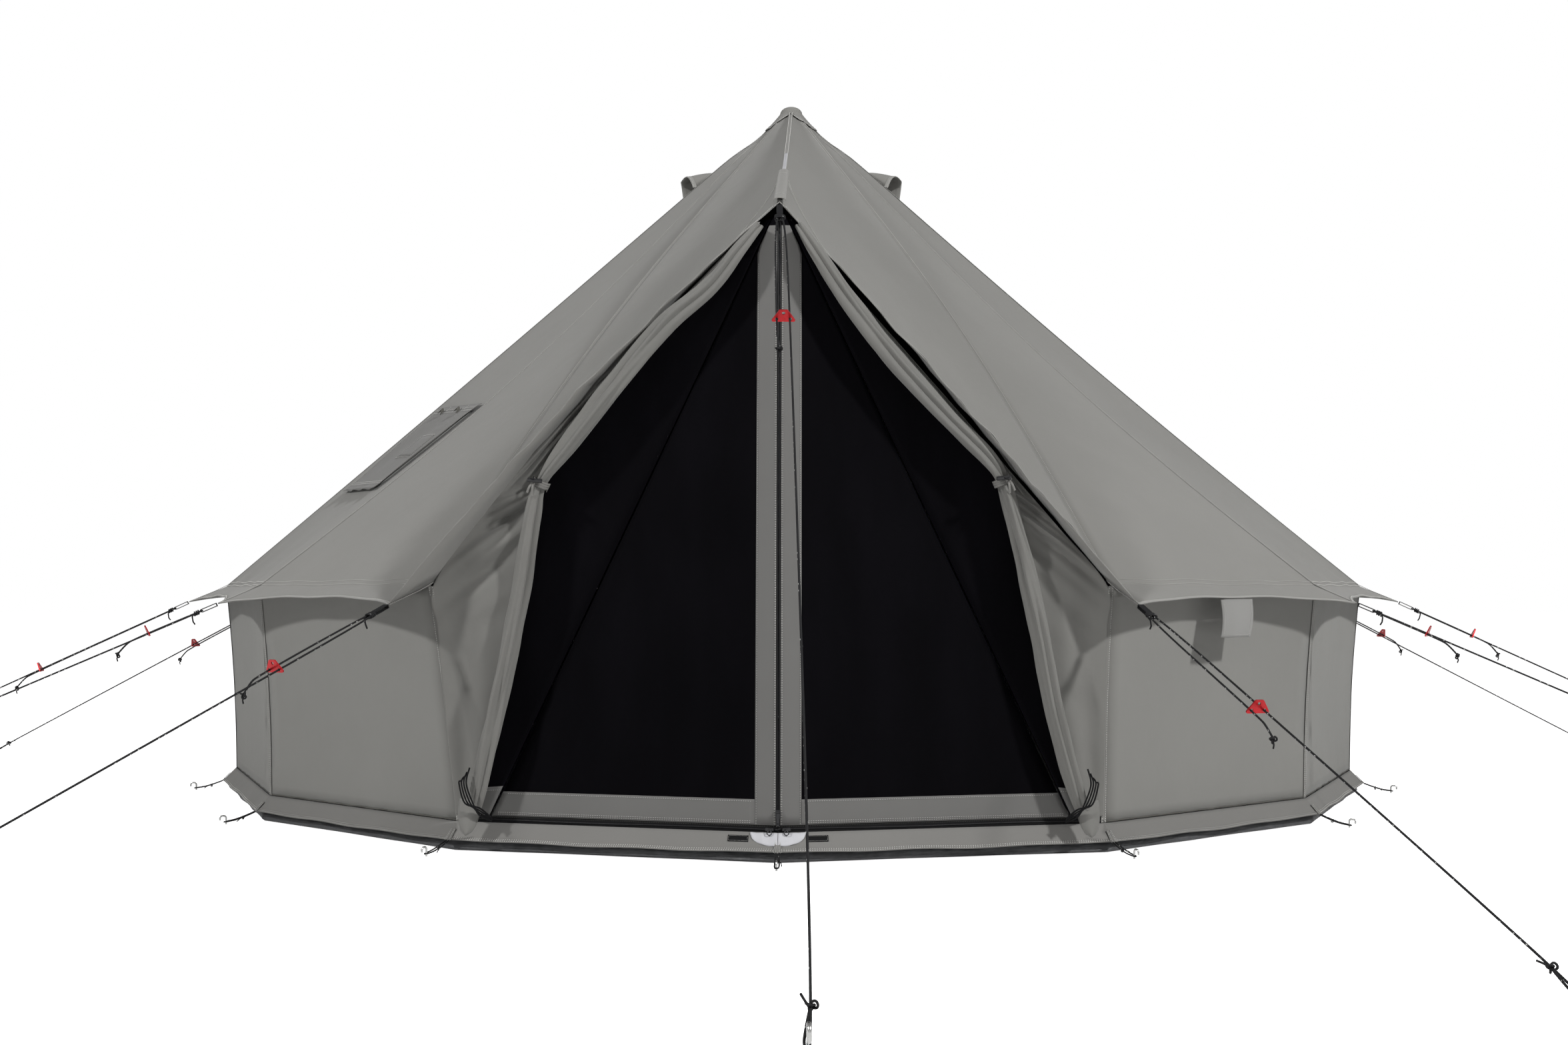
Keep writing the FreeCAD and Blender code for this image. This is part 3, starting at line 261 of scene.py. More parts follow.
CANVAS = (0.172, 0.169, 0.158)
M = {
    "roof": cloth_mat("canvas_roof", CANVAS, wrinkle=0.10),
    "wall": cloth_mat("canvas_wall", (0.166, 0.164, 0.153), wrinkle=0.12),
    # door canvas: the roof's canvas darkened to about 0.77 of it, as painted shade of the tied-back doors under the
    # front hem
    "door": cloth_mat("canvas_door_painted_shade", (0.132, 0.130, 0.121), wrinkle=0.22, spread=0.08),
    # door-border canvas: the same canvas darkened to about 0.6 of the roof's, as painted shade from the roof peak over
    # the doorway; also used for the fixed mesh's foot band
    "strip": cloth_mat("canvas_strip_painted_shade", (0.104, 0.102, 0.098), wrinkle=0.08),
    "skirt": cloth_mat("canvas_skirt", (0.142, 0.139, 0.131), wrinkle=0.16),
    "flap": cloth_mat("canvas_flap", (0.118, 0.116, 0.110), wrinkle=0.12),
    "hem": cloth_mat("canvas_hem", (0.225, 0.222, 0.210), wrinkle=0.04, spread=0.05),
    "seam": cloth_mat("canvas_seam", (0.160, 0.157, 0.147), wrinkle=0.03, spread=0.05),
    "tag": cloth_mat("canvas_tag", (0.200, 0.198, 0.190), wrinkle=0.05),
    "tie": web_mat("cotton_tie", (0.17, 0.167, 0.157), 0.0018),
    "pale": cloth_mat("pale_flap", (0.42, 0.42, 0.44), pitch=0.0008, wrinkle=0.08, spread=0.05),
    "heat": cloth_mat("heat_cloth", (0.33, 0.33, 0.32), pitch=0.0014, wrinkle=0.05, spread=0.08, rough=0.6, sheen=0.0),
    "thread": plain_mat("thread", (0.56, 0.555, 0.53), 0.8, 900.0, 0.0002, 0.4, 0.2, 0.3),
    "thread_dark": plain_mat("thread_dark", (0.09, 0.088, 0.078), 0.85, 900.0, 0.0002, 0.3, 0.2, 0.2),
    "mesh": mesh_mat("insect_mesh"),
    "cord": cord_mat("guy_line"),
    "web": web_mat("black_webbing", (0.011, 0.011, 0.012)),
    "zip": web_mat("zip_tape", (0.005, 0.005, 0.0055), 0.0012),
    "teeth": plain_mat("zip_coil", (0.008, 0.008, 0.009), 0.4, 900.0, 0.0004, 0.5, 0.3, 0.3),
    "runner": metal_mat("red_anodised", (0.52, 0.012, 0.018), 0.30, 0.75, (90, 90, 20), 0.35, 0.2),
    "peg": metal_mat("galvanised_wire", (0.62, 0.62, 0.61), 0.28, 1.0, (120, 120, 30)),
    "pole": metal_mat("steel_tube", (0.55, 0.56, 0.57), 0.34, 1.0, (40, 40, 2)),
    "zipmetal": metal_mat("black_zinc", (0.035, 0.035, 0.037), 0.38, 0.55, (200, 200, 200)),
    "silver": metal_mat("bright_strip", (0.40, 0.40, 0.43), 0.42, 0.55, (300, 60, 60)),
    "rubber": plain_mat("rubber", (0.018, 0.018, 0.018), 0.72, 160.0, 0.0006, 0.4, 0.25, 0.3),
    "toggle": plain_mat("toggle_plastic", (0.015, 0.015, 0.016), 0.34, 120.0, 0.0003, 0.2, 0.25),
}


def pvc_mat(name):
    m, b, link = start(name, Coat_Weight=0.12, Coat_Roughness=0.45)
    uv, ob = uv_of(m), obj_of(m)
    wx = wave_tex(m, uv, 0.0042, "X")
    wy = wave_tex(m, uv, 0.0042, "Y")
    grid = math_node(m, "MULTIPLY", wx, wy)
    folds = noise_tex(m, scaled(m, ob, (1, 1, 2.5)), 5.5, 4.0, 0.6)
    dust = noise_tex(m, ob, 30.0, 4.0, 0.6)
    mixv = math_node(m, "ADD", math_node(m, "MULTIPLY", dust, 0.6), math_node(m, "MULTIPLY", folds, 0.4))
    link(ramp(m, mixv, [(0.3, (0.030, 0.031, 0.033)), (0.55, (0.052, 0.053, 0.056)), (0.8, (0.085, 0.086, 0.09))]),
         b.inputs["Base Color"])
    link(math_node(m, "ADD", math_node(m, "MULTIPLY", dust, 0.25), 0.38), b.inputs["Roughness"])
    n1 = bump(m, folds, 0.5, 0.03)
    link(bump(m, grid, 0.3, 0.0004, n1), b.inputs["Normal"])
    return m


M["pvc"] = pvc_mat("groundsheet_pvc")


# ------------------------------------------------------------------ mesh tools
def lerp(a, b, f):
    return a + (b - a) * f


def place(mesh, name, mat, body="root"):
    o = bpy.data.objects.new(name, mesh)
    bpy.context.scene.collection.objects.link(o)
    mesh.materials.append(M[mat])
    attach(o, body)
    return o


class Shape:
    """Collects vertices, faces and UVs in metres, then makes one mesh."""

    def __init__(self):
        self.v, self.f, self.uv = [], [], []

    def grid(self, rows, flip=False, uvs=None, closed=False):
        base, nu, nv = len(self.v), len(rows), len(rows[0])
        for row in rows:
            self.v.extend(row)
        if uvs is None:
            us = [[0.0] * nv for _ in range(nu)]
            vs = [[0.0] * nv for _ in range(nu)]
            for i in range(nu):
                for j in range(nv):
                    if j:
                        us[i][j] = us[i][j - 1] + (rows[i][j] - rows[i][j - 1]).length
                    if i:
                        vs[i][j] = vs[i - 1][j] + (rows[i][j] - rows[i - 1][j]).length
            uvs = [[(us[i][j] - us[i][-1] * 0.5, vs[i][j]) for j in range(nv)] for i in range(nu)]
        for i in range(nu - 1):
            for j in range(nv - 1 if not closed else nv):
                jn = (j + 1) % nv
                q = [(i, j), (i, jn), (i + 1, jn), (i + 1, j)]
                t = [uvs[a][b] for a, b in q]
                if closed and jn == 0:
                    t[1] = (uvs[i][nv - 1][0] + uvs[i][1][0] - uvs[i][0][0], t[1][1])
                    t[2] = (uvs[i + 1][nv - 1][0] + uvs[i + 1][1][0] - uvs[i + 1][0][0], t[2][1])
                if flip:
                    q, t = q[::-1], t[::-1]
                self.f.append([base + a * nv + b for a, b in q])
                self.uv.append(t)
        return self

    def cap(self, ring_start, count, flip=False):
        ids = list(range(ring_start, ring_start + count))
        self.f.append(ids[::-1] if flip else ids)
        self.uv.append([(self.v[i].x, self.v[i].z) for i in self.f[-1]])

    def tube(self, path, r, sides=8, caps=True, radii=None, section=None):
        """A round bar along path. UV: u round, v along, in metres."""
        n = len(path)
        t0 = (path[1] - path[0]).normalized()
        up = V((0, 0, 1)) if abs(t0.z) < 0.9 else V((1, 0, 0))
        a = t0.cross(up).normalized()
        rows, uvs, s = [], [], 0.0
        for i in range(n):
            t = (path[min(i + 1, n - 1)] - path[max(i - 1, 0)]).normalized()
            a = (a - t * a.dot(t)).normalized()
            b = t.cross(a)
            if i:
                s += (path[i] - path[i - 1]).length
            rr = r if radii is None else radii[i]
            row = []
            for j in range(sides):
                w = 2 * pi * j / sides
                k = 1.0 if section is None else section(w, s, i / (n - 1))
                row.append(path[i] + (a * math.cos(w) + b * math.sin(w)) * rr * k)
            rows.append(row)
            uvs.append([(j / sides, s) for j in range(sides)])
        first = len(self.v)
        self.grid(rows, uvs=uvs, closed=True)
        if caps:
            self.cap(first, sides, True)
            self.cap(first + (n - 1) * sides, sides)
        return self

    def strip(self, path, normals, width, height, side=0.0, lift=0.0):
        """A thin closed strip lying on a surface: path, outward normals, width, height."""
        rows, n = [], len(path)
        uvs, s = [], 0.0
        for i in range(n):
            t = (path[min(i + 1, n - 1)] - path[max(i - 1, 0)]).normalized()
            nn = (normals[i] - t * normals[i].dot(t)).normalized()
            x = t.cross(nn)
            c = path[i] + x * side + nn * lift
            h = width / 2.0
            rows.append([c - x * h, c - x * h * 0.82 + nn * height, c + x * h * 0.82 + nn * height, c + x * h])
            if i:
                s += (path[i] - path[i - 1]).length
            uvs.append([(0.0, s), (height, s), (height + width, s), (2 * height + width, s)])
        first = len(self.v)
        self.grid(rows, uvs=uvs, closed=True)
        self.cap(first, 4, False)
        self.cap(first + (n - 1) * 4, 4, True)
        return self

    def stitches(self, path, normals, width=0.0028, height=0.0011, pitch=0.0075, fill=0.72, side=0.0, lift=0.0):
        """A row of separate stitches along a path."""
        n = len(path)
        cum = [0.0]
        for i in range(1, n):
            cum.append(cum[-1] + (path[i] - path[i - 1]).length)
        total, s, i = cum[-1], pitch * 0.3, 0

        def at(d):
            nonlocal i
            while i < n - 2 and cum[i + 1] < d:
                i += 1
            f = (d - cum[i]) / max(1e-9, cum[i + 1] - cum[i])
            return lerp(path[i], path[i + 1], f), lerp(normals[i], normals[i + 1], f), (path[i + 1] - path[i]).normalized()
        while s + pitch < total:
            p, nn, t = at(s)
            q, nm, t2 = at(s + pitch * fill)
            nn = (nn - t * nn.dot(t)).normalized()
            x = t.cross(nn)
            a, b = p + x * side + nn * lift, q + x * side + nn * lift
            mid = (a + b) * 0.5 + nn * height
            h = width / 2.0
            k = len(self.v)
            self.v.extend([a, mid - x * h, mid + x * h, b, (a + b) * 0.5 - nn * 0.0004])
            for tri in ((0, 2, 1), (3, 1, 2), (0, 1, 4), (1, 3, 4), (0, 4, 2), (2, 4, 3)):
                self.f.append([k + c for c in tri])
                self.uv.append([(0.0, s), (width, s), (width, s + pitch)])
            s += pitch
        return self

    def make(self, name, mat, body="root", weld=None, sharp=None, solid=None, offset=-1.0):
        mesh = bpy.data.meshes.new(name)
        mesh.from_pydata([tuple(p) for p in self.v], [], self.f)
        layer = mesh.uv_layers.new(name="UVMap")
        k = 0
        for t in self.uv:
            for c in t:
                layer.data[k].uv = c
                k += 1
        if weld:
            bm = bmesh.new()
            bm.from_mesh(mesh)
            bmesh.ops.remove_doubles(bm, verts=bm.verts, dist=weld)
            bmesh.ops.dissolve_degenerate(bm, edges=bm.edges, dist=1e-6)
            bm.to_mesh(mesh)
            bm.free()
        mesh.validate()
        for p in mesh.polygons:
            p.use_smooth = True
        if sharp:
            mesh.set_sharp_from_angle(angle=math.radians(sharp))
        o = place(mesh, name, mat, body)
        if solid:
            md = o.modifiers.new("thickness", "SOLIDIFY")
            md.thickness = solid
            md.offset = offset
            md.use_even_offset = False
        return o


def smooth_path(ctrl, order=3, res=14):
    """The smooth line that a route's points pull: a NURBS spline read back as points."""
    cu = bpy.data.curves.new("route", "CURVE")
    cu.dimensions = "3D"
    cu.resolution_u = res
    sp = cu.splines.new("NURBS")
    sp.points.add(len(ctrl) - 1)
    for p, c in zip(sp.points, ctrl):
        p.co = (*c, 1.0)
    sp.order_u = order
    sp.use_endpoint_u = True
    o = bpy.data.objects.new("route", cu)
    me = bpy.data.meshes.new_from_object(o)
    pts = [v.co.copy() for v in me.vertices]
    bpy.data.objects.remove(o)
    bpy.data.curves.remove(cu)
    bpy.data.meshes.remove(me)
    out = [pts[0]]
    for p in pts[1:]:
        if (p - out[-1]).length > 1e-5:
            out.append(p)
    return out


def through(keys, count):
    """Points on a smooth line through the given ones (Catmull-Rom)."""
    n = len(keys)
    out = []
    for c in range(count):
        x = c / (count - 1) * (n - 1)
        i = min(int(x), n - 2)
        f = x - i
        p0, p1, p2, p3 = keys[max(i - 1, 0)], keys[i], keys[i + 1], keys[min(i + 2, n - 1)]
        out.append(0.5 * ((2 * p1) + (p2 - p0) * f + (2 * p0 - 5 * p1 + 4 * p2 - p3) * f * f
                          + (3 * p1 - p0 - 3 * p2 + p3) * f ** 3))
    return out


# ------------------------------------------------------------------ the tent's lines
TOP_R, TOP_Z = 0.046, 3.030
SEAM_R, SEAM_Z = 2.456, 0.857
EAVE_R, EAVE_Z = 2.606, 0.793
BASE_R, BASE_Z = 2.402, 0.092
PEAK = V((0.0, -2.204, 2.106))
SAG = {1: -0.080, -1: -0.070, 2: 0.065, -2: 0.070, 3: 0.022, -3: 0.006}
E = 0.05


def corner(k):
    return (k + 6) % N - 6


def at(k, r, z):
    a = k * STEP
    p = V((r * math.sin(a), -r * math.cos(a), z))
    if corner(k) == -1 and r > 2.4 and z > 0.5:
        p.x -= 0.105 if r > 2.55 else 0.065
    return p


_l = math.hypot(SEAM_R - TOP_R, SEAM_Z - TOP_Z)
N_R, N_Z = (SEAM_Z - TOP_Z) / _l, -(SEAM_R - TOP_R) / _l      # inward normal of the slope


def ridge(k, t, deep=0.0):
    if t > 1.0:
        return lerp(at(k, SEAM_R, SEAM_Z), at(k, EAVE_R, EAVE_Z), (t - 1.0) / E)
    p = lerp(at(k, TOP_R, TOP_Z), at(k, SEAM_R, SEAM_Z), t)
    by = deep + SAG.get(corner(k), 0.020) * math.sin(pi * max(0.0, t) ** 1.2)
    by += 0.017 * math.exp(-((t - 0.048) / 0.034) ** 2) * (0.0 if corner(k) in (1, -1) else 1.0)
    return p + at(k, N_R * by, 0.0) + V((0, 0, N_Z * by))


def crease(p, amp, size, seed=0.0):
    return amp * noise.noise(V((p.x / size + seed, p.y / size, p.z / size)))


PLAIN_GORES = (-3, 3, -4)


def roofp(k, f, t):
    """Roof cloth between corner lines k and k+1; t runs past 1 over the scalloped edge."""
    kk = corner(k)
    a, b = ridge(k, t), ridge(k + 1, t)
    if t <= 1.0:
        p = lerp(a, b, f)
        w = math.sin(pi * max(0.0, t) ** 1.2)
        bow = 4 * f * (1 - f)
        deep = (0.0 if kk in PLAIN_GORES else 0.012) * bow * w
        edge = math.exp(-(1 - t) / 0.10) * 0.0034 * math.sin(2 * pi * f * 4.0 + kk + 1.5 * math.sin(f * 7.0)) * bow
        c = STEP * (k + 0.5)
        n = V((N_R * math.sin(c), -N_R * math.cos(c), N_Z))
        small = 0.0 if kk == -3 else crease(p, 0.0030, 0.55, kk * 3.1) * bow
        return p + n * (deep + edge + small)
    s = (t - 1.0) / E
    q = lerp(at(k, SEAM_R, SEAM_Z), at(k + 1, SEAM_R, SEAM_Z), f)
    e = lerp(at(k, EAVE_R, EAVE_Z), at(k + 1, EAVE_R, EAVE_Z), f)
    bow = 4 * f * (1 - f)
    p = q + (e - q) * (1.0 - 0.47 * bow ** 0.75) * s
    p.z += -0.006 * s * s * bow + 0.0022 * s * bow * math.sin(2 * pi * f * 3.0 + 2.0 * kk)
    return p


def roofn(k, f, t):
    d = 0.004
    u = roofp(k, min(1, f + d), t) - roofp(k, max(0, f - d), t)
    lo, hi = (t - d, t) if t > 1.0 - d and t <= 1.0 else (t, t + d)
    v = roofp(k, f, hi) - roofp(k, f, lo)
    n = u.cross(v)
    if n.length < 1e-12:
        return V((0, 0, 1))
    n.normalize()
    return n if n.z > 0 else -n


def frontp(side, f, s):
    """Front gore: f from the ridge over the doorway to the door corner's line, s from top to hem."""
    a = lerp(at(0, TOP_R, TOP_Z), PEAK, s)
    a.z -= 0.018 * math.sin(pi * s) ** 1.0
    b = ridge(side, s * (1.0 + E))
    p = lerp(a, b, f)
    bow = 4 * f * (1 - f)
    hem = s ** 5
    out = 0.040 if side < 0 else 0.006
    p += V((side * 0.70 * out, -0.01, 0.66 * out)) * bow * hem
    n = (b - a).cross(V((0, -1, -0.8))) * side
    n.normalize()
    if n.z < 0:
        n = -n
    p -= n * 0.012 * bow * math.sin(pi * min(1, s))
    p += n * (crease(p, 0.0035, 0.5, side * 5.0) * bow
              + bow * hem * (0.0030 * math.sin(2 * pi * f * 5.0 + side) + 0.0034 * math.sin(2 * pi * f * 11.0 + 2.0 * math.sin(f * 9.0))))
    return p


def frontn(side, f, s):
    d = 0.004
    u = frontp(side, min(1, f + d), s) - frontp(side, max(0, f - d), s)
    v = frontp(side, f, min(1, s + d)) - frontp(side, f, max(0, s - d))
    n = u.cross(v).normalized()
    return n if n.z > 0 else -n


# ------------------------------------------------------------------ guys (cords first)
RR = 0.003
STAKE = {"front": (0.110, -4.560), "r1": (1.664, -4.130), "l1": (-2.186, -3.990), "r2": (3.580, -2.420),
         "l2": (-3.580, -2.420), "r3": (4.100, -0.940), "l3": (-4.100, -0.940), "r4": (4.100, 0.940),
         "l4": (-4.100, 0.940)}
for _k, _n in ((5, "r5"), (6, "r6"), (7, "rear"), (-5, "l5"), (-6, "l6")):
    STAKE[_n] = (4.130 * math.sin(_k * STEP), -4.130 * math.cos(_k * STEP))
CORNER = {"r1": 1, "r2": 2, "r3": 3, "r4": 4, "r5": 5, "r6": 6, "rear": 7,
          "l1": -1, "l2": -2, "l3": -3, "l4": -4, "l5": -5, "l6": -6}
STRAP, STRAP_T = 0.062, 0.0022
RING = STRAP - STRAP_T - RR - 0.0026
LEGS = {"front": 0.634, "l1": 0.430, "r1": 0.674, "l2": 0.198, "r2": 0.196, "l3": 0.586, "r3": 0.258, "l4": 0.450}
REAR = ("r5", "r6", "rear", "l5", "l6")


class Guy:
    def __init__(self, name):
        sx, sy = STAKE[name]
        self.b = V((sx, sy, 0.024))
        if name == "front":
            self.a = V((0, -2.212, 2.090))
        else:
            e = at(CORNER[name], EAVE_R, EAVE_Z)
            out = (self.b - e).normalized()
            self.a = at(CORNER[name], EAVE_R, EAVE_Z - 0.002) + out * 0.0035
        self.e = (self.b - self.a).normalized()
        self.len = (self.b - self.a).length
        self.w = self.e.cross(V((0, 0, 1))).normalized()
        self.v = self.w.cross(self.e)

    def p(self, s, w, v=0.0):
        return self.a + self.e * s + self.w * w + self.v * v


def knot_path(centre, x, y, z, size):
    """An overhand knot's line about a centre."""
    out = []
    for i in range(49):
        t = 2 * pi * i / 48
        px, py, pz = math.sin(t) + 2 * math.sin(2 * t), math.cos(t) - 2 * math.cos(2 * t), -math.sin(3 * t) * 1.15
        out.append(centre + x * (px * size) + y * (py * size) + z * (pz * size))
    return out


GUYS = {}
for name in ["front", "r1", "r2", "r3", "r4", "r5", "r6", "rear", "l1", "l2", "l3", "l4", "l5", "l6"]:
    g = Guy(name)
    GUYS[name] = g
    L = g.len
    RUN = RING + LEGS.get(name, 0.330)
    route = [g.p(L + 0.011, 0.0), g.p(L + 0.011, -0.011), g.p(RUN, -0.020), g.p(RING, -0.016), g.p(RING, 0.016),
             g.p(RUN + 0.052, 0.0206), g.p(RUN + 0.084, 0.019, -0.007), g.p(RUN + 0.116, 0.015, -0.024)]
    path = smooth_path(route)
    rope = Shape().tube(path, RR, 10).make("guy_line_" + name, "cord")
    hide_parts("guy_ropes_rear" if name in REAR else "guy_rope_" + name)
    ks = Shape()
    end = path[-1]
    # stopper knot and frayed tail
    ks.tube(knot_path(end + g.e * 0.004 - g.v * 0.004, g.w, g.v, g.e, 0.0034), 0.0026, 8, False)
    ks.tube([end + g.e * 0.004 - g.v * 0.006, end + g.e * 0.012 - g.v * 0.016, end + g.e * 0.013 - g.v * 0.026], 0.0024, 8)
    # hitch on the webbing loop, wound round the two legs
    wind, turns = [], 3.0
    for i in range(61):
        t = i / 60
        ang = 2 * pi * turns * t
        wind.append(g.p(RING + 0.012 + 0.020 * t, 0.0158 * math.cos(ang), 0.0062 * math.sin(ang)))
    ks.tube(wind, 0.0028, 8)
    ks.tube([wind[-1], g.p(RING + 0.040, 0.010, -0.008), g.p(RING + 0.044, 0.006, -0.024), g.p(RING + 0.042, 0.007, -0.036)], 0.0027, 8)
    # eye round the stake: the return leg and its knot
    eye = smooth_path([g.p(L + 0.011, 0.0), g.p(L + 0.011, 0.011), g.p(L - 0.036, 0.004), g.p(L - 0.074, -0.0044)], 3, 8)
    ks.tube(eye, RR, 10)
    ks.tube(knot_path(g.p(L - 0.080, -0.008), g.w, g.v, g.e, 0.0040), 0.0028, 8, False)
    ks.tube([g.p(L - 0.074, -0.004), g.p(L - 0.090, 0.006, 0.004), g.p(L - 0.104, 0.012, 0.002)], 0.0026, 8)
    knots = ks.make("guy_knots_" + name, "cord")
    strap = "front_webbing" if name == "front" else "eave_loops"

# thin loops from the skirt to its pegs
PEG_R = 2.566
for k in range(N):
    d, w = at(k, 1.0, 0.0), V((math.cos(k * STEP), math.sin(k * STEP), 0))
    if corner(k) == -1:
        d = V((math.sin(k * STEP), -math.cos(k * STEP), 0))

    def P(r, side, z):
        return d * r + w * side + V((0, 0, z))
    route = [P(2.4592, -0.005, 0.037), P(PEG_R - 0.050, -0.007, 0.015), P(PEG_R + 0.007, -0.007, 0.008),
             P(PEG_R + 0.007, 0.007, 0.008), P(PEG_R - 0.050, 0.007, 0.015), P(2.4592, 0.005, 0.037)]
    path = smooth_path(route, 3, 10)
    loop = Shape().tube(path, 0.0025, 8).make("peg_loop_%02d" % k, "cord")
    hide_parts("peg_loops")
    ks = Shape()
    ks.tube(knot_path(P(PEG_R - 0.062, 0.0, 0.019), w, V((0, 0, 1)), d, 0.0022), 0.0017, 6, False)
    ks.tube([P(PEG_R - 0.060, 0.003, 0.020), P(PEG_R - 0.046, 0.012, 0.016), P(PEG_R - 0.034, 0.015, 0.008)], 0.0017, 6)
    kn = ks.make("peg_knot_%02d" % k, "cord")

# ------------------------------------------------------------------ roof
roof = Shape()
ROWS = [i / 30 for i in range(31)] + [1.0 + E * i / 6 for i in range(1, 7)]
COLS = 18
for k in range(1, N - 1):
    roof.grid([[roofp(k, j / COLS, t) for j in range(COLS + 1)] for t in ROWS], flip=True)
for side in (1, -1):
    roof.grid([[frontp(side, j / 24, i / 40) for j in range(25)] for i in range(41)], flip=(side > 0))
roof = roof.make("roof_cloth", "roof", weld=0.0004, sharp=11, solid=0.0022, offset=-1.0)
bm = bmesh.new()
bm.from_mesh(roof.data)
bmesh.ops.recalc_face_normals(bm, faces=bm.faces)
bm.normal_update()
if sum((f.normal.z for f in bm.faces)) < 0:
    bmesh.ops.reverse_faces(bm, faces=bm.faces)
bm.to_mesh(roof.data)
bm.free()
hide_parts("roof_canvas")


def ridge_line(k, t0=0.012, t1=1.0 + E * 0.985, n=60):
    ts = [t0 + (t1 - t0) * i / (n - 1) for i in range(n)]
    a = k * STEP
    pts = [ridge(k, t) for t in ts]
    nrm = []
    for i in range(n):
        tan = (pts[min(i + 1, n - 1)] - pts[max(i - 1, 0)]).normalized()
        side = V((math.cos(a), math.sin(a), 0))
        nn = side.cross(tan)
        nrm.append((nn if nn.z > 0 else -nn).normalized())
    return pts, nrm


seams, thread, dark = Shape(), Shape(), Shape()
for k in range(1, N):
    pts, nrm = ridge_line(k)
    seams.strip(pts, nrm, 0.017, 0.0009, lift=0.0002)
    for s in (-0.0060, 0.0060):
        thread.stitches(pts, nrm, side=s, lift=0.0011)
# ridge over the doorway, and the sleeve at its lower end
fr = [frontp(1, 0.0, 0.012 + 0.975 * i / 59) for i in range(60)]
frn = [V((0, -0.39, 0.92)).normalized()] * 60
seams.strip(fr, frn, 0.018, 0.0018, lift=0.0002)
for s in (-0.0062, 0.0062):
    thread.stitches(fr, frn, side=s, lift=0.0020)
seams.make("ridge_seams", "seam")

# double row along the wall line, and single rows on the scalloped edge
for k in range(1, N - 1):
    fs = [i / 40 for i in range(41)]
    for t in (0.9925, 0.9985):
        pts = [roofp(k, f, t) for f in fs]
        thread.stitches(pts, [roofn(k, min(max(f, 0.01), 0.99), 0.99) for f in fs], lift=0.0004)
edge = Shape()
for k in range(1, N - 1):
    fs = [i / 40 for i in range(41)]
    pts = [roofp(k, f, 1.0 + E * 0.965) for f in fs]
    nn = [roofn(k, min(max(f, 0.01), 0.99), 1.0 + E * 0.8) for f in fs]
    edge.strip(pts, nn, 0.011, 0.0014, lift=0.0002)
    thread.stitches([roofp(k, f, 1.0 + E * 0.93) for f in fs], nn, lift=0.0012)

# hem of the front gores: a pale bound edge with two rows
for side in (1, -1):
    fs = [i / 70 for i in range(1, 70)]
    pts = [frontp(side, f, 0.9955) for f in fs]
    nn = [frontn(side, f, 0.99) for f in fs]
    edge.strip(pts, nn, 0.017, 0.0016, lift=0.0003)
    for off in (0.9885, 0.9945):
        thread.stitches([frontp(side, f, off) for f in fs], nn, lift=0.0018)
    # curved reinforcement either side of the sleeve
    keys = [(0.010, 0.70), (0.035, 0.80), (0.075, 0.89), (0.115, 0.945), (0.150, 0.985)]
    cur = through([V((a, b, 0)) for a, b in keys], 60)
    pts = [frontp(side, c.x, c.y) for c in cur]
    nn = [frontn(side, max(0.01, c.x), c.y) for c in cur]
    thread.stitches(pts, nn, side=-0.004, lift=0.0006)
    thread.stitches(pts, nn, side=0.004, lift=0.0006)
edge.make("roof_hems", "hem")

sleeve = Shape()
sp = [frontp(1, 0.0, 0.70 + 0.295 * i / 24) for i in range(25)]
rows, uvs = [], []
for i, p in enumerate(sp):
    row = []
    for j in range(13):
        a = pi * j / 12
        row.append(p + V((-math.cos(a) * 0.021, -math.sin(a) * 0.004 - 0.0015, math.sin(a) * 0.010 + 0.0012)))
    rows.append(row)
sleeve.grid(rows)
sl = sleeve.make("peak_sleeve", "roof", sharp=50, solid=0.0016, offset=1.0)
for s in (-0.0175, 0.0175):
    thread.stitches([p + V((0, -0.003, 0.0045)) for p in sp], [V((0, -0.39, 0.92))] * 25, side=s, lift=0.0008)
for a, b in ((3, 4), (20, 21), (23, 24)):
    c = (sp[a] + sp[b]) * 0.5 + V((0, -0.004, 0.0125))
    line = [c + V((x, 0, -abs(x) * 0.35)) for x in (-0.016, -0.008, 0.0, 0.008, 0.016)]
    thread.stitches(line, [V((0, -0.39, 0.92))] * 5, pitch=0.005, lift=0.001)
thread.make("seam_stitching", "thread")

bright = Shape()
bp = [frontp(1, 0.0, 0.515 + 0.175 * i / 20) + V((0, -0.003, 0.0045)) for i in range(21)]
bright.strip(bp, [V((0, -0.39, 0.92))] * 21, 0.013, 0.0035)
bright.make("ridge_bright_strip", "silver")


# ------------------------------------------------------------------ cap
def cap_pt(a, q):
    """Cap over the top: a round the pole, q from 0 at the crown to 1 at the rim."""
    k = a / STEP
    k0 = math.floor(k)
    f = k - k0
    kk = corner(int(k0))
    rim_t = 0.034
    if kk in (0, -1):
        side = 1 if kk == 0 else -1
        ff = f if kk == 0 else 1 - f
        base = frontp(side, ff, rim_t * 1.0)
    else:
        base = roofp(int(k0), f, rim_t)
    crown = V((0, 0, 3.052))
    if q > 0.62:
        x = (q - 0.62) / 0.38
        inner = V((base.x, base.y, 0)).normalized() * 0.050 + V((0, 0, 3.030))
        rim_p = base + V((base.x, base.y, 0)).normalized() * 0.003 + V((0, 0, 0.006))
        return lerp(inner, rim_p, x) + V((0, 0, -0.004 * math.sin(pi * x)))
    r = 0.050 * math.sin(q / 0.62 * pi / 2) ** 0.9
    z = 3.030 + 0.033 * math.cos(q / 0.62 * pi / 2)
    d = V((base.x, base.y, 0)).normalized()
    return d * r + V((0, 0, z))


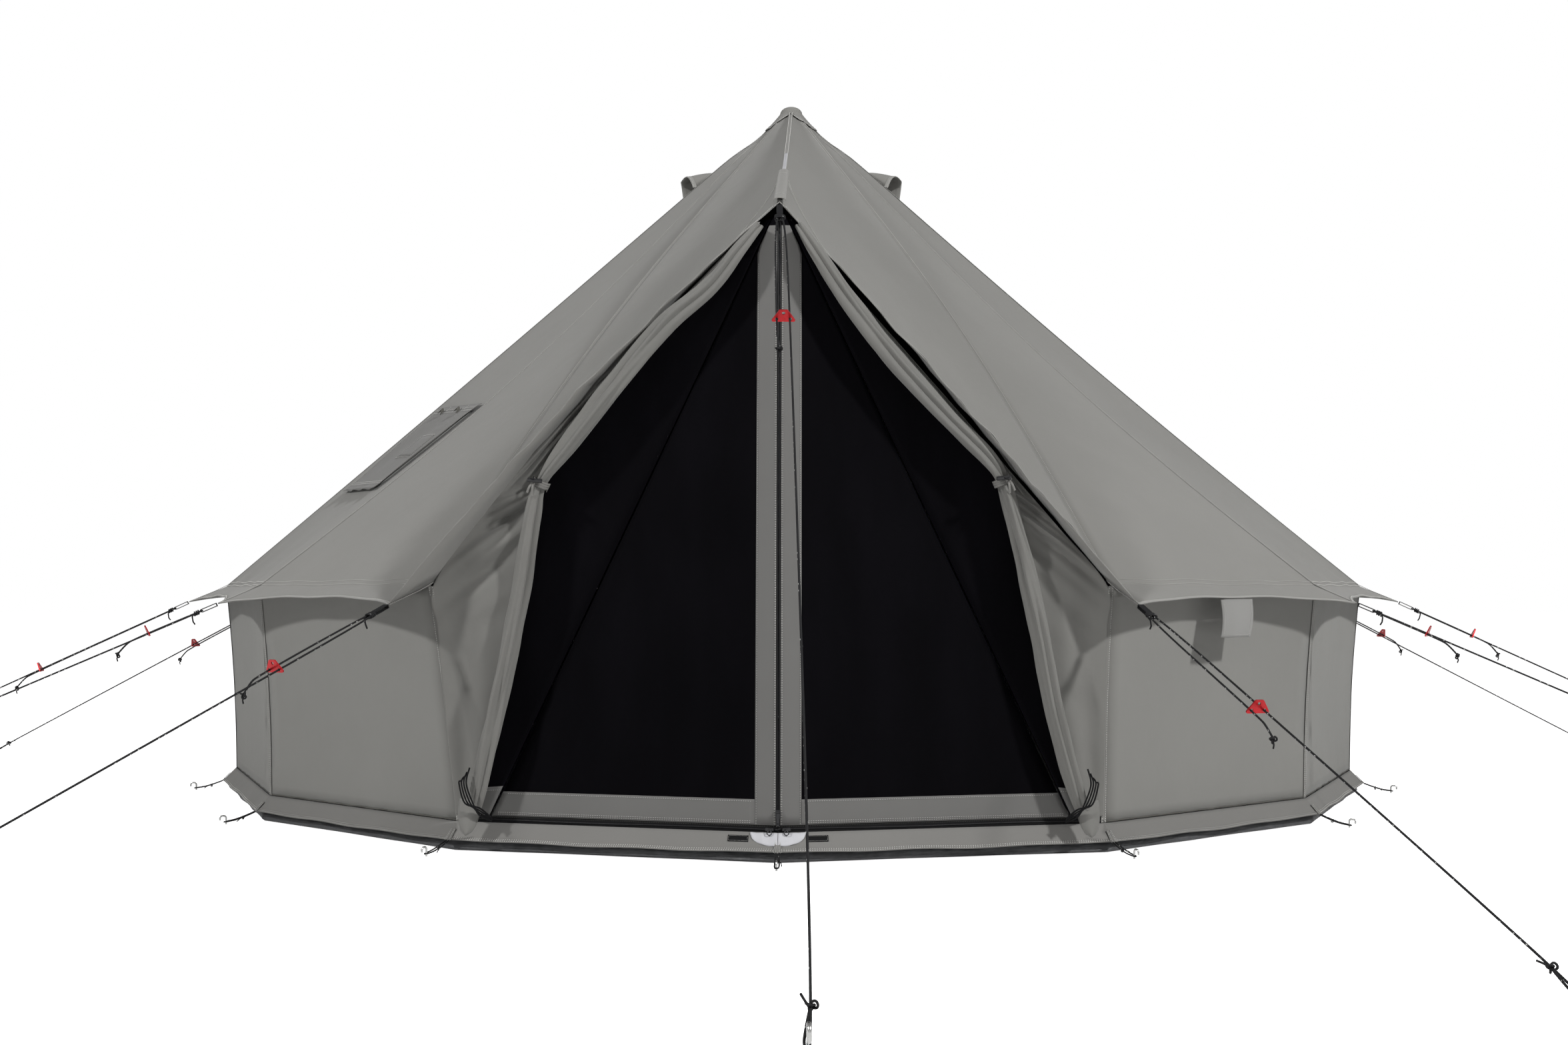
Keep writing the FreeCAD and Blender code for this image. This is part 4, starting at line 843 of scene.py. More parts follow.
rows = [[cap_pt(2 * pi * j / 84, q / 18) for j in range(84)] for q in range(19)]
uvs = [[(0.09 * j / 84 * 2 * pi, 0.01 * i) for j in range(84)] for i in range(19)]
capm = Shape().grid(rows, uvs=uvs, closed=True).make("apex_cloth_cap", "roof", weld=0.0003, sharp=60, solid=0.002, offset=0.0)
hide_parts("apex_cap")
ct = Shape()
ring = [cap_pt(2 * pi * j / 84, 0.90) for j in range(85)]
ct.stitches(ring, [V((p.x, p.y, 0.05)).normalized() for p in ring], lift=0.0014)
ring = [cap_pt(2 * pi * j / 84, 0.965) for j in range(85)]
ct.stitches(ring, [V((p.x, p.y, 0.05)).normalized() for p in ring], lift=0.0014)
ct.make("cap_stitching", "thread")


# ------------------------------------------------------------------ wall
def wallp(k, f, v):
    """Wall between corner lines k and k+1, v from 0 at the foot to 1 under the roof."""
    lo = lerp(at(k, BASE_R, BASE_Z), at(k + 1, BASE_R, BASE_Z), f)
    hi = lerp(at(k, SEAM_R - 0.003, SEAM_Z - 0.004), at(k + 1, SEAM_R - 0.003, SEAM_Z - 0.004), f)
    p = lerp(lo, hi, v)
    a = STEP * (k + f)
    inward = V((-math.sin(a), math.cos(a), 0))
    bow = 4 * f * (1 - f)
    by = 0.010 * math.sin(pi * v) + 0.005 * bow * math.sin(pi * v)
    by += crease(p, 0.006, 0.42, k * 2.3) * math.sin(pi * min(1, v * 1.05 + 0.02)) * (0.25 + 0.75 * bow)
    by += 0.0035 * math.exp(-(1 - v) / 0.10) * math.sin(2 * pi * f * 5 + k) * bow
    by += 0.0030 * math.exp(-v / 0.07) * math.sin(2 * pi * f * 7 + 2 * k) * bow
    return p + inward * by


wall = Shape()
for k in range(1, N - 1):
    wall.grid([[wallp(k, j / 16, i / 20) for j in range(17)] for i in range(21)])
wall = wall.make("wall_cloth", "wall", weld=0.0003, sharp=12, solid=0.0020, offset=0.0)
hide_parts("wall_canvas")
wt, wd = Shape(), Shape()
ws = Shape()
for k in range(1, N):
    kk = k if k < N - 1 else k - 1
    ff = 0.0 if k < N - 1 else 1.0
    a = STEP * k
    out = V((math.sin(a), -math.cos(a), 0))
    pts = [wallp(kk, ff, i / 30) + out * 0.0012 for i in range(31)]
    ws.strip(pts, [out] * 31, 0.020, 0.0007)
    for s in (-0.0065, 0.0065):
        wt.stitches(pts, [out] * 31, side=s, lift=0.0009)
ws.make("wall_seams", "seam")
for k in range(1, N - 1):
    fs = [i / 30 for i in range(31)]
    a = STEP * (k + 0.5)
    out = V((math.sin(a), -math.cos(a), 0))
    wd.strip([wallp(k, f, 0.004) + out * 0.0012 for f in fs], [out] * 31, 0.0035, 0.0016)
wt.make("wall_stitching", "thread")
wd.make("wall_foot_seam", "thread_dark")


# ------------------------------------------------------------------ mud flap and groundsheet
def skirtp(k, f, v):
    """Mud flap: v from 0 at the wall foot to 1 at its hem."""
    a, b = at(k, lerp(2.406, 2.456, v), lerp(0.090, 0.038, v)), at(k + 1, lerp(2.406, 2.456, v), lerp(0.090, 0.038, v))
    p = lerp(a, b, f)
    bow = 4 * f * (1 - f)
    c = STEP * (k + f)
    out = V((math.sin(c), -math.cos(c), 0))
    p += out * (-0.006 * bow * v) + V((0, 0, 1)) * (-0.006 * bow * v + 0.0022 * v * bow * math.sin(2 * pi * f * 3 + k * 1.7))
    p += out * 0.003 * v * bow * math.sin(2 * pi * f * 2 + k)
    return p


def skirtn(k, f):
    c = STEP * (k + 0.5)
    return V((math.sin(c) * 0.72, -math.cos(c) * 0.72, 0.69)).normalized()


sk = Shape()
for k in range(N):
    sk.grid([[skirtp(k, j / 20, i / 6) for j in range(21)] for i in range(7)], flip=True)
sk = sk.make("mud_flap_cloth", "skirt", weld=0.0003, sharp=14, solid=0.0018, offset=0.0)
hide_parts("mud_flap")
st, sh = Shape(), Shape()
for k in range(N):
    fs = [i / 30 for i in range(31)]
    nn = [skirtn(k, f) for f in fs]
    sh.strip([skirtp(k, f, 0.94) for f in fs], nn, 0.012, 0.0016, lift=0.0008)
    for v in (0.87, 0.955):
        st.stitches([skirtp(k, f, v) for f in fs], nn, lift=0.0022 if v > 0.9 else 0.0012)
    # square of stitching and a tab for the peg loop at each corner
    a = STEP * k
    out = V((math.sin(a), -math.cos(a), 0))
    side = V((math.cos(a), math.sin(a), 0))
    c0, c1 = at(k, 2.428, 0.0685), at(k, 2.4600, 0.0350)
    cn = (out * 0.72 + V((0, 0, 0.69))).normalized()
    for w in (-0.012, -0.006, 0.006, 0.012):
        st.stitches([c0 + side * w * 0.55, c1 + side * w], [cn] * 2, pitch=0.0045, lift=0.0026)
    sh.strip([lerp(c0, c1, i / 6) for i in range(7)], [cn] * 7, 0.020, 0.0012, lift=0.0012)
sh.make("mud_flap_hem", "skirt")
st.make("mud_flap_stitching", "thread")


def tubp(k, f, v):
    """Raised edge of the groundsheet: v from 0 on the ground to 1 at its top."""
    prof = [(2.402, 0.0012), (2.424, 0.0014), (2.433, 0.008), (2.430, 0.022), (2.416, 0.044), (2.398, 0.066), (2.388, 0.082)]
    x = v * (len(prof) - 1)
    i = min(int(x), len(prof) - 2)
    r, z = lerp(prof[i][0], prof[i + 1][0], x - i), lerp(prof[i][1], prof[i + 1][1], x - i)
    p = lerp(at(k, r, z), at(k + 1, r, z), f)
    bow = 4 * f * (1 - f)
    c = STEP * (k + f)
    out = V((math.sin(c), -math.cos(c), 0))
    m = math.sin(pi * min(1.0, v))
    return p + out * (m * bow * (0.004 * math.sin(2 * pi * f * 2.5 + 1.9 * k) + crease(p, 0.008, 0.22, k)) - 0.004 * bow)


gs = Shape()
for k in range(N):
    gs.grid([[tubp(k, j / 20, i / 18) for j in range(21)] for i in range(19)])
for k in range(N):
    rows = []
    for i in range(13):
        t = i / 12
        row = []
        for j in range(21):
            p = tubp(k, j / 20, 0.0)
            q = V((p.x * t, p.y * t, 0.0012))
            q.z += 0.0012 + 0.0012 * noise.noise(V((q.x * 2.1, q.y * 2.1, 0.4))) if 0 < t < 1 else 0.0
            row.append(q)
        rows.append(row)
    gs.grid(rows, flip=True, uvs=[[(p.x, p.y) for p in row] for row in rows])
gs = gs.make("groundsheet_cloth", "pvc", weld=0.0003, sharp=40, solid=0.0010, offset=0.0)
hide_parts("groundsheet")

# ------------------------------------------------------------------ inner mesh doors
HI = V((0.020, -2.198, 2.058))
LO = V((0.930, -2.184, 0.112))
CT = V((0.0006, -2.198, 2.058))
CL = V((0.0006, -2.398, 0.112))


def leafp(side, u, v, off=0.0):
    """Door leaf: u from the middle to the hinge line, v from foot to head, off towards -Y."""
    foot = lerp(V((CL.x * side, CL.y, CL.z)), V((LO.x * side, LO.y, LO.z)), u)
    head = lerp(V((CT.x * side, CT.y, CT.z)), V((HI.x * side, HI.y, HI.z)), u)
    p = lerp(foot, head, v)
    m = math.sin(pi * u) * math.sin(pi * min(1, v * 1.05)) ** 0.6
    p.y += -0.001 - off + 0.006 * m + crease(p, 0.006, 0.30, side) * m
    return p


def leaf_w(v):
    return lerp(LO.x, HI.x, v)


for side, body in ((-1, "mesh_door_left"), (1, "mesh_door_right")):
    tag = "left" if side < 0 else "right"
    rows = [[leafp(side, j / 22, i / 40) for j in range(23)] for i in range(41)]
    net = Shape().grid(rows, flip=(side < 0)).make("mesh_leaf_" + tag, "mesh", body, solid=0.0006, offset=0.0)
    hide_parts(body)
    # canvas border beside the zip and along the foot
    wS = 0.072
    rows = []
    for i in range(61):
        v = i / 60 * 0.985
        w = min(wS, leaf_w(v) * 0.98)
        rows.append([leafp(side, (0.0046 + (w - 0.0046) * j / 8) / leaf_w(v), v, 0.0022 + 0.0008 * math.sin(pi * j / 8))
                     for j in range(9)])
    bs = Shape().grid(rows, flip=(side < 0))
    rows = []
    for i in range(9):
        v = i / 8 * 0.040
        rows.append([leafp(side, (wS + (leaf_w(v) - wS) * j / 40) / leaf_w(v), v,
                           0.0024 + 0.0007 * math.sin(pi * i / 8) + 0.0010 * math.sin(j * 1.3 + side)) for j in range(41)])
    bs.grid(rows, flip=(side < 0))
    # border takes the darkened strip canvas: painted shade
    border = bs.make("door_border_" + tag, "strip", body, sharp=45, solid=0.0012, offset=0.0)
    th = Shape()
    front = V((0, -1, 0.1))
    for x in (0.0085, 0.0115, wS - 0.004):
        vs = [i / 60 * 0.97 for i in range(61) if leaf_w(i / 60 * 0.97) > wS * 1.15 or x < 0.02]
        th.stitches([leafp(side, x / leaf_w(v), v, 0.0040) for v in vs], [front] * len(vs), width=0.0012)
    for z in (0.003, 0.0060, 0.037):
        us = [0.09 + 0.90 * i / 40 for i in range(41)]
        th.stitches([leafp(side, u, z, 0.0044) for u in us], [front] * 41, width=0.0012)
    th.make("door_stitching_" + tag, "thread", body)
    # zip tape and coil
    z1 = Shape()
    vs = [i / 80 * 0.99 for i in range(81)]
    z1.strip([leafp(side, 0.0034 / leaf_w(v), v, 0.0022) for v in vs], [front] * 81, 0.0056, 0.0010)
    z1.make("centre_zip_tape_" + tag, "zip", body)
    z2 = Shape()
    z2.tube([leafp(side, 0.0012 / leaf_w(v), v, 0.0036) + V((side * 0.0008, 0, 0)) for v in vs], 0.0015, 6)
    z2.make("centre_zip_coil_" + tag, "teeth", body)

# fixed mesh between the leaves and the door corners
fx = Shape()
for side in (-1, 1):
    rows = []
    for i in range(31):
        v = i / 30
        a = lerp(V((side * 0.9365, -2.184, 0.114)), V((side * 0.0275, -2.198, 2.052)), v)
        low, high = at(side, BASE_R - 0.016, 0.112), at(side, SEAM_R - 0.030, SEAM_Z - 0.034)
        if v < 0.42:
            b = lerp(low, high, v / 0.42)
        else:
            b = lerp(high, V((side * 0.040, -2.198, 2.046)), (v - 0.42) / 0.58)
        row = []
        for j in range(13):
            p = lerp(a, b, j / 12)
            p.y += -0.001 + crease(p, 0.006, 0.3, 4.0) * math.sin(pi * j / 12)
            row.append(p)
        rows.append(row)
    fx.grid(rows, flip=(side < 0))
fb_ = Shape()
ft_ = Shape()
for side in (-1, 1):
    rows = []
    for i in range(9):
        v = i / 8 * 0.048
        a = lerp(V((side * 0.9385, -2.184, 0.114)), V((side * 0.0355, -2.198, 2.052)), v)
        b = lerp(at(side, BASE_R - 0.016, 0.112), at(side, SEAM_R - 0.030, SEAM_Z - 0.034), v / 0.42)
        rows.append([lerp(a, b, j / 8) + V((0, -0.0035 - 0.0006 * math.sin(pi * i / 8), 0)) for j in range(9)])
    fb_.grid(rows, flip=(side < 0))
    for i in (0, 7):
        ft_.stitches([p + V((0, -0.0012, 0)) for p in rows[i]], [V((0, -1, 0.1))] * 9, width=0.0012)
# foot band takes the darkened strip canvas: painted shade
fb_.make("fixed_foot_band", "strip", sharp=45, solid=0.0012, offset=0.0)
ft_.make("fixed_band_stitching", "thread")
fx = fx.make("fixed_mesh", "mesh", solid=0.0006, offset=0.0)
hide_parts("mesh_side_panels")

# ------------------------------------------------------------------ outer canvas doors, tied back
KEYS = {
    1: dict(
        roll=[(0.050, 2.022), (0.106, 1.930), (0.205, 1.775), (0.345, 1.592), (0.520, 1.398), (0.655, 1.262), (0.706, 1.190),
              (0.742, 1.075), (0.790, 0.880), (0.828, 0.705), (0.872, 0.463), (0.930, 0.235), (0.957, 0.142)],
        rad=[0.014, 0.024, 0.030, 0.033, 0.031, 0.028, 0.0215, 0.027, 0.031, 0.029, 0.029, 0.027, 0.020],
        sheet=[((0.060, 2.030), (0.075, 2.030)), ((0.200, 1.800), (0.238, 1.812)), ((0.345, 1.600), (0.408, 1.614)),
               ((0.520, 1.400), (0.600, 1.392)), ((0.690, 1.210), (0.790, 1.168)), ((0.730, 1.150), (0.905, 1.034)),
               ((0.750, 1.070), (1.056, 0.850)), ((0.790, 0.900), (1.056, 0.720)), ((0.828, 0.705), (1.052, 0.560)),
               ((0.872, 0.463), (1.048, 0.380)), ((0.925, 0.250), (1.044, 0.215)), ((0.950, 0.130), (1.040, 0.112))]),
    -1: dict(
        roll=[(-0.052, 2.022), (-0.122, 1.930), (-0.215, 1.812), (-0.345, 1.700), (-0.498, 1.520), (-0.655, 1.318), (-0.760, 1.186),
              (-0.790, 1.075), (-0.818, 0.880), (-0.850, 0.706), (-0.900, 0.461), (-0.946, 0.235), (-0.966, 0.142)],
        rad=[0.014, 0.024, 0.031, 0.034, 0.032, 0.029, 0.0215, 0.027, 0.030, 0.029, 0.029, 0.027, 0.020],
        sheet=[((-0.062, 2.030), (-0.080, 2.036)), ((-0.215, 1.810), (-0.268, 1.838)), ((-0.360, 1.680), (-0.438, 1.668)),
               ((-0.520, 1.500), (-0.630, 1.462)), ((-0.745, 1.215), (-0.866, 1.212)), ((-0.785, 1.150), (-0.985, 1.068)),
               ((-0.800, 1.070), (-1.124, 0.850)), ((-0.820, 0.900), (-1.112, 0.720)), ((-0.850, 0.705), (-1.096, 0.560)),
               ((-0.895, 0.463), (-1.078, 0.380)), ((-0.940, 0.250), (-1.060, 0.215)), ((-0.962, 0.130), (-1.050, 0.112))]),
}
DOOR_Y = -2.262
for side in (1, -1):
    tag = "left" if side < 0 else "right"
    body_name = "outer_door_" + tag
    kd = KEYS[side]
    n = 150
    path = through([V((x + side * (0.012 if i < 6 else 0.005), DOOR_Y if i else -2.232, z)) for i, (x, z) in enumerate(kd["roll"])], n)
    rad = [p.x * 0.86 for p in through([V((r, 0, 0)) for r in kd["rad"]], n)]

    def lobes(w, s, q, side=side):
        tie = math.exp(-((q - 0.5) / 0.030) ** 2)
        low = 1.0 / (1.0 + math.exp(-(q - 0.5) / 0.02))
        tw = side * (s * 0.9 + low * s * 1.6) + 0.5 * math.sin(s * 5.0)
        k = 1.0 + 0.22 * math.sin(3 * w + tw) + 0.16 * math.sin(5 * w - 1.3 * tw + 1.0) + 0.09 * math.sin(8 * w + 1.6 * tw + 2.0)
        k += 0.14 * noise.noise(V((math.cos(w) * 1.1, math.sin(w) * 1.1, s * 8.0 + side)))
        k += tie * 0.06 * math.sin(11 * w)
        return k * (1.0 - 0.08 * tie)

    ins = through([V((a[0], 0, a[1])) for a, b in kd["sheet"]], 120)
    outs = through([V((b[0], 0, b[1])) for a, b in kd["sheet"]], 120)
    rows = []
    for i in range(120):
        q = i / 119 * 11.0                     # station number in the table
        up = max(0.0, 1.0 - max(0.0, q - 3.2) / 1.2) if q < 4.4 else 0.0
        fan = math.exp(-((q - 5.6) / 1.25) ** 2)
        row = []
        for j in range(41):
            w = j / 40
            p = lerp(ins[i], outs[i], w)
            y = lerp(-2.250, -2.214 if q < 6 else lerp(-2.214, -2.172, (q - 6) / 5), w ** 0.8)
            ph = 2 * pi * w * 2.6 + 0.6 + q * 0.55 * side + 0.8 * noise.noise(V((q * 1.7, w * 2.0, side)))
            y += -0.027 * up * (math.sin(ph) + 0.25 * math.sin(2 * ph + 0.7)) * math.sin(pi * min(1, w * 1.02)) ** 0.7 * min(1.0, q)
            y += -0.024 * fan * (math.sin(q * 5.6 + 1.6 * w + side) + 0.45 * math.sin(q * 11.5 - 2.0 * w)) * math.sin(pi * w) ** 0.6 * (1 - w) ** 0.4
            y += -0.010 * math.exp(-((q - 8.5) / 2.4) ** 2) * math.sin(pi * w) * math.sin(2 * pi * w * 1.2 + q * 0.6)
            p = V((p.x, y, p.z))
            p.y += crease(p, 0.008, 0.12, 7.0 + side) * math.sin(pi * w)
            row.append(p)
        rows.append(row)
    fan_s = Shape().grid(rows, flip=(side < 0))
    fan_s.tube(path, 0.025, 56, True, rad, lobes)
    for turn in (0.74, 0.48):              # the turns inside the roll
        fan_s.tube(path, 0.025, 32, True, [r * turn for r in rad], lobes)
    # door cloth takes the darkened door canvas: painted shade
    fan_o = fan_s.make("door_cloth_" + tag, "door", sharp=66, solid=0.0014, offset=0.0)
    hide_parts(body_name)
    # rounded free corner of the cloth below the roll
    cx = kd["roll"][-1][0]
    rows = []
    for i in range(15):
        v = i / 14
        half = 0.036 * math.sqrt(max(0.0, 1 - v ** 2.2)) + 0.002
        rows.append([V((cx + side * 0.016 + half * (2 * j / 12 - 1) + side * 0.010 * v,
                        -2.262 - 0.012 * math.sin(pi * j / 12) - 0.030 * v,
                        0.176 - 0.112 * v)) for j in range(13)])
    # free corner in the same darkened door canvas: painted shade
    end_o = Shape().grid(rows, flip=True).make("door_corner_" + tag, "door", sharp=60, solid=0.0014, offset=0.0)
    # zip tapes bunched at the foot of the roll
    zs = Shape()
    for q in range(4):
        o = (q - 1.5) * 0.0085
        ctrl = [V((cx + side * (0.030 + o), -2.287, 0.276 - 0.014 * q)), V((cx + side * (0.036 + o * 0.9), -2.302, 0.228)),
                V((cx + side * (0.014 + o * 0.9), -2.307 - 0.003 * q, 0.168)), V((cx - side * 0.018, -2.301, 0.128 + 0.0075 * q)),
                V((cx - side * 0.050, -2.264 - 0.004 * q, 0.106 + 0.004 * q))]
        pp = through(ctrl, 34)
        zs.tube(pp, 0.0028, 6)
    zs_o = zs.make("door_zip_end_" + tag, "zip")

    # tie: three turns of cotton tape, a knot, and the loop that holds the toggle
    i0 = min(range(n), key=lambda i: abs(path[i].z - 1.186))
    c = path[i0]
    t = (path[i0 + 3] - path[i0 - 3]).normalized()
    a = t.cross(V((0, 1, 0))).normalized()
    b = t.cross(a)
    wind, nn = [], []
    for i in range(91):
        ang = 2 * pi * 3.0 * i / 90
        rr = 0.0285
        d = a * math.cos(ang) + b * math.sin(ang)
        wind.append(c + t * (-0.011 + 0.022 * i / 90 + 0.003 * math.sin(ang)) + d * rr)
        nn.append(d)
    ts = Shape().strip(wind, nn, 0.0085, 0.0016)
    kc = c + V((side * 0.016, -0.036, 0.004))
    ts.tube(knot_path(kc, V((1, 0, 0)), V((0, 0, 1)), V((0, -1, 0)), 0.0032), 0.0030, 8, False)
    for dx, dz in ((0.020, -0.034), (0.004, -0.042)):
        ts.strip(through([kc, kc + V((side * dx * 0.6, -0.006, dz * 0.45)), kc + V((side * dx, -0.002, dz))], 12),
                 [V((0, -1, 0))] * 12, 0.0075, 0.0014)
    tie_o = ts.make("door_tie_" + tag, "tie")
    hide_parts("door_ties")
    lo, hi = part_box("door_toggles")
    tx = lo[0] + 0.02 if side < 0 else hi[0] - 0.02
    tz = (lo[2] + hi[2]) / 2
    ls = Shape()
    ls.tube(through([kc, kc + V((side * 0.010, -0.008, 0.010)), V((tx, (lo[1] + hi[1]) / 2, tz)) + V((0, -0.009, 0)),
                     V((tx, (lo[1] + hi[1]) / 2, tz)) + V((0, 0.0, 0.009))], 20), 0.0022, 8)
    ls.make("toggle_loop_" + tag, "web")


# ------------------------------------------------------------------ threshold
def sillp(side, u, z, out=0.0):
    """Point u metres from the middle along the front foot, out from the wall line."""
    p = lerp(at(0, BASE_R, z), at(side, BASE_R, z), u / (2 * BASE_R * math.sin(STEP / 2)))
    c = side * STEP / 2
    return p + V((math.sin(c), -math.cos(c), 0)) * out


FOOT = 2 * BASE_R * math.sin(STEP / 2)
tz_, tc, tk = Shape(), Shape(), Shape()
for side in (-1, 1):
    c = side * STEP / 2
    nn = V((math.sin(c), -math.cos(c), 0.15)).normalized()
    us = [FOOT * i / 60 for i in range(61)]
    wob = [0.0012 * math.sin(u * 9.0 + side) for u in us]
    tz_.strip([sillp(side, u, 0.0985 + w, -0.0012) for u, w in zip(us, wob)], [nn] * 61, 0.026, 0.0014)
    tc.tube([sillp(side, u, 0.1000 + w, 0.0022) for u, w in zip(us, wob)], 0.0017, 6)
    tz_.strip([sillp(side, u, 0.0865 + w, 0.0030) for u, w in zip(us, wob)], [nn] * 61, 0.006, 0.0012)
    for z in (0.1090, 0.0895):
        tk.stitches([sillp(side, u, z, 0.0010) for u in us], [nn] * 61, width=0.0011)
zt = tz_.make("threshold_tape", "zip")
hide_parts("threshold_zip")
tc.make("threshold_coil", "teeth")
tk.make("threshold_stitching", "thread_dark")


def on_skirt(side, u, v, up):
    f = u / (2 * 2.43 * math.sin(STEP / 2))
    p = skirtp(0, f, v) if side > 0 else skirtp(-1, 1 - f, v)
    return p + skirtn(0 if side > 0 else -1, 0.5) * up


fl = Shape()
for side in (-1, 1):
    rows = []
    for i in range(17):
        u = 0.088 * i / 16
        deep = 0.10 + 0.62 * math.sqrt(max(0.0, 1 - (u / 0.0882) ** 2.4))
        rows.append([on_skirt(side, u, lerp(0.04, deep, j / 8), 0.0024 + 0.0018 * math.sin(pi * j / 8) + 0.001 * math.sin(i * 0.9))
                     for j in range(9)])
    fl.grid(rows, flip=(side > 0))
fl = fl.make("threshold_flap_cloth", "pale", weld=0.0006, sharp=50, solid=0.0011, offset=0.0)
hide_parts("threshold_flap")
hk, hs = Shape(), Shape()
for side in (-1, 1):
    rows = [[on_skirt(side, lerp(0.094, 0.160, j / 10), lerp(0.20, 0.52, i / 4), 0.0020) for j in range(11)] for i in range(5)]
    hk.grid(rows, flip=(side < 0))
    ring = [on_skirt(side, u, v, 0.0030) for u, v in ((0.0965, 0.235), (0.127, 0.235), (0.1575, 0.235), (0.1575, 0.36),
                                                     (0.1575, 0.485), (0.127, 0.485), (0.0965, 0.485), (0.0965, 0.36), (0.0965, 0.235))]
    hs.stitches(ring, [skirtn(0 if side > 0 else -1, 0.5)] * 9, pitch=0.0045, width=0.0010)
hk = hk.make("hook_tapes", "zip", solid=0.0014, offset=0.0)
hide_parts("hook_patches")
hs.make("hook_stitching", "thread")

# teardrop pulls on the threshold sliders, each riding on its slider
for side, body in ((-1, "threshold_slider_left"), (1, "threshold_slider_right")):
    lo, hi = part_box(body)
    c = V(((lo[0] + hi[0]) / 2, lo[1], (lo[2] + hi[2]) / 2))
    ps = Shape()
    loop = []
    for i in range(33):
        t = 2 * pi * i / 32
        loop.append(c + V((0.0062 * math.sin(t) * (1.0 - 0.45 * math.cos(t)), -0.004 - 0.004 * (1 - math.cos(t)) / 2,
                           -0.014 - 0.014 * (1 - math.cos(t)) / 2 + 0.012)))
    ps.tube(loop, 0.0016, 8, False)
    ps.tube([c + V((-0.004, -0.001, 0.001)), c + V((-0.003, -0.006, 0.0)), c + V((0.003, -0.006, 0.0)), c + V((0.004, -0.001, 0.001))], 0.0012, 8)
    ps.make("zip_pull_" + ("left" if side < 0 else "right"), "zipmetal", body)


# ------------------------------------------------------------------ vents and stove flap
def gorep(k, u, r, up):
    t = (r - TOP_R) / (SEAM_R - TOP_R)
    a, b = ridge(k, t), ridge(k + 1, t)
    across = (b - a).normalized()
    down = lerp(ridge(k, t + 0.02), ridge(k + 1, t + 0.02), 0.5) - lerp(ridge(k, t - 0.02), ridge(k + 1, t - 0.02), 0.5)
    n = across.cross(down).normalized()
    if n.z < 0:
        n = -n
    return lerp(a, b, 0.5) + across * u + n * up


def gnorm(k, r):
    return (gorep(k, 0, r, 1.0) - gorep(k, 0, r, 0.0)).normalized()


hood, rim, scr, hst = Shape(), Shape(), Shape(), Shape()


def hoodp(k, near, s, a, inset=0.0):
    """Vent hood: s from its root to its mouth, a round the arch from 0 to pi; the leg on the near side is cut back."""
    side = math.cos(a) * near                       # +1 on the side towards the door
    w = (0.046 + 0.034 * s) * (1.0 - inset) * (1.0 + 0.26 * side)
    h = (0.004 + 0.080 * s ** 0.7) * (1.0 - inset)
    lift = math.sin(a) ** 0.72
    reach = 0.140 * (1.0 - 0.34 * lift) * (1.0 - 0.40 * max(0.0, side) ** 0.8)
    r = 0.362 + reach * s - 0.012 * inset
    return gorep(k, -math.cos(a) * w, r, 0.003 + lift * h * (1.0 - 0.05 * side))


for k, near in ((3, 1.0), (-4, -1.0)):
    rows = [[hoodp(k, near, i / 14, pi * j / 24) for j in range(25)] for i in range(15)]
    hood.grid(rows)
    mouth = rows[-1]
    mid = gorep(k, 0.0, 0.470, 0.03)
    rim.strip(mouth, [(p - mid).normalized() for p in mouth], 0.020, 0.0022, lift=0.0008)
    hst.stitches(mouth, [(p - mid).normalized() for p in mouth], lift=0.0032, pitch=0.006, side=0.004)
    rows = []
    for i in range(8):
        q = i / 7
        rows.append([lerp(gorep(k, -math.cos(pi * j / 14) * 0.058, 0.432, 0.004), hoodp(k, near, 0.60, pi * j / 14, 0.05), q) for j in range(15)])
    scr.grid(rows)
    # stitched patch round the foot of the hood
    foot = [gorep(k, u, r, 0.0) for u, r in ((-0.082, 0.512), (-0.076, 0.44), (-0.058, 0.366), (0.0, 0.350), (0.058, 0.366), (0.076, 0.44), (0.082, 0.512))]
    foot = through(foot, 40)
    hst.stitches(foot, [gnorm(k, 0.45)] * 40, lift=0.003)
    rim.strip(foot, [gnorm(k, 0.45)] * 40, 0.016, 0.0014, lift=0.0008)
hood = hood.make("vent_hood_cloth", "roof", sharp=60, solid=0.0018, offset=0.0)
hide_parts("vent_hoods")
rim.make("vent_hood_rims", "hem")
hst.make("vent_stitching", "thread")
scr = scr.make("vent_screen_mesh", "mesh", solid=0.0008, offset=0.0)
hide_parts("vent_screens")

FK, FW, SHIFT, RA = -3, 0.290, 0.045, 1.596
SLOPE = math.hypot(SEAM_R - TOP_R, SEAM_Z - TOP_Z) / (SEAM_R - TOP_R)
RB = RA + 0.560 / SLOPE
rows = []
for i in range(33):
    v = i / 32
    row = []
    for j in range(33):
        u = j / 32
        curl = 0.012 * max(0.0, (u - 0.90) / 0.10) ** 2 * math.sin(pi * v) ** 0.5 + 0.007 * max(0.0, (v - 0.93) / 0.07) ** 2 * (0.5 + 0.5 * math.sin(u * 21.0))
        sag_ = 0.0022 * math.sin(u * 9.0 + v * 4.0) * math.sin(pi * v)
        row.append(gorep(FK, lerp(-FW, FW, u) + SHIFT, lerp(RA, RB, v), 0.0095 + curl + sag_))
    rows.append(row)
sf = Shape().grid(rows, flip=True).make("stove_flap_cloth", "flap", "stove_flap", sharp=50, solid=0.0018, offset=0.0)
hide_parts("stove_flap")


def flap_line(pts, up=0.0118):
    cur = []
    for a, b in zip(pts, pts[1:]):
        for i in range(12):
            cur.append((lerp(a[0], b[0], i / 12), lerp(a[1], b[1], i / 12)))
    cur.append(pts[-1])
    return [gorep(FK, lerp(-FW, FW, u) + SHIFT, lerp(RA, RB, v), up + 0.0022 * math.sin(u * 9.0 + v * 4.0) * math.sin(pi * v)) for u, v in cur]


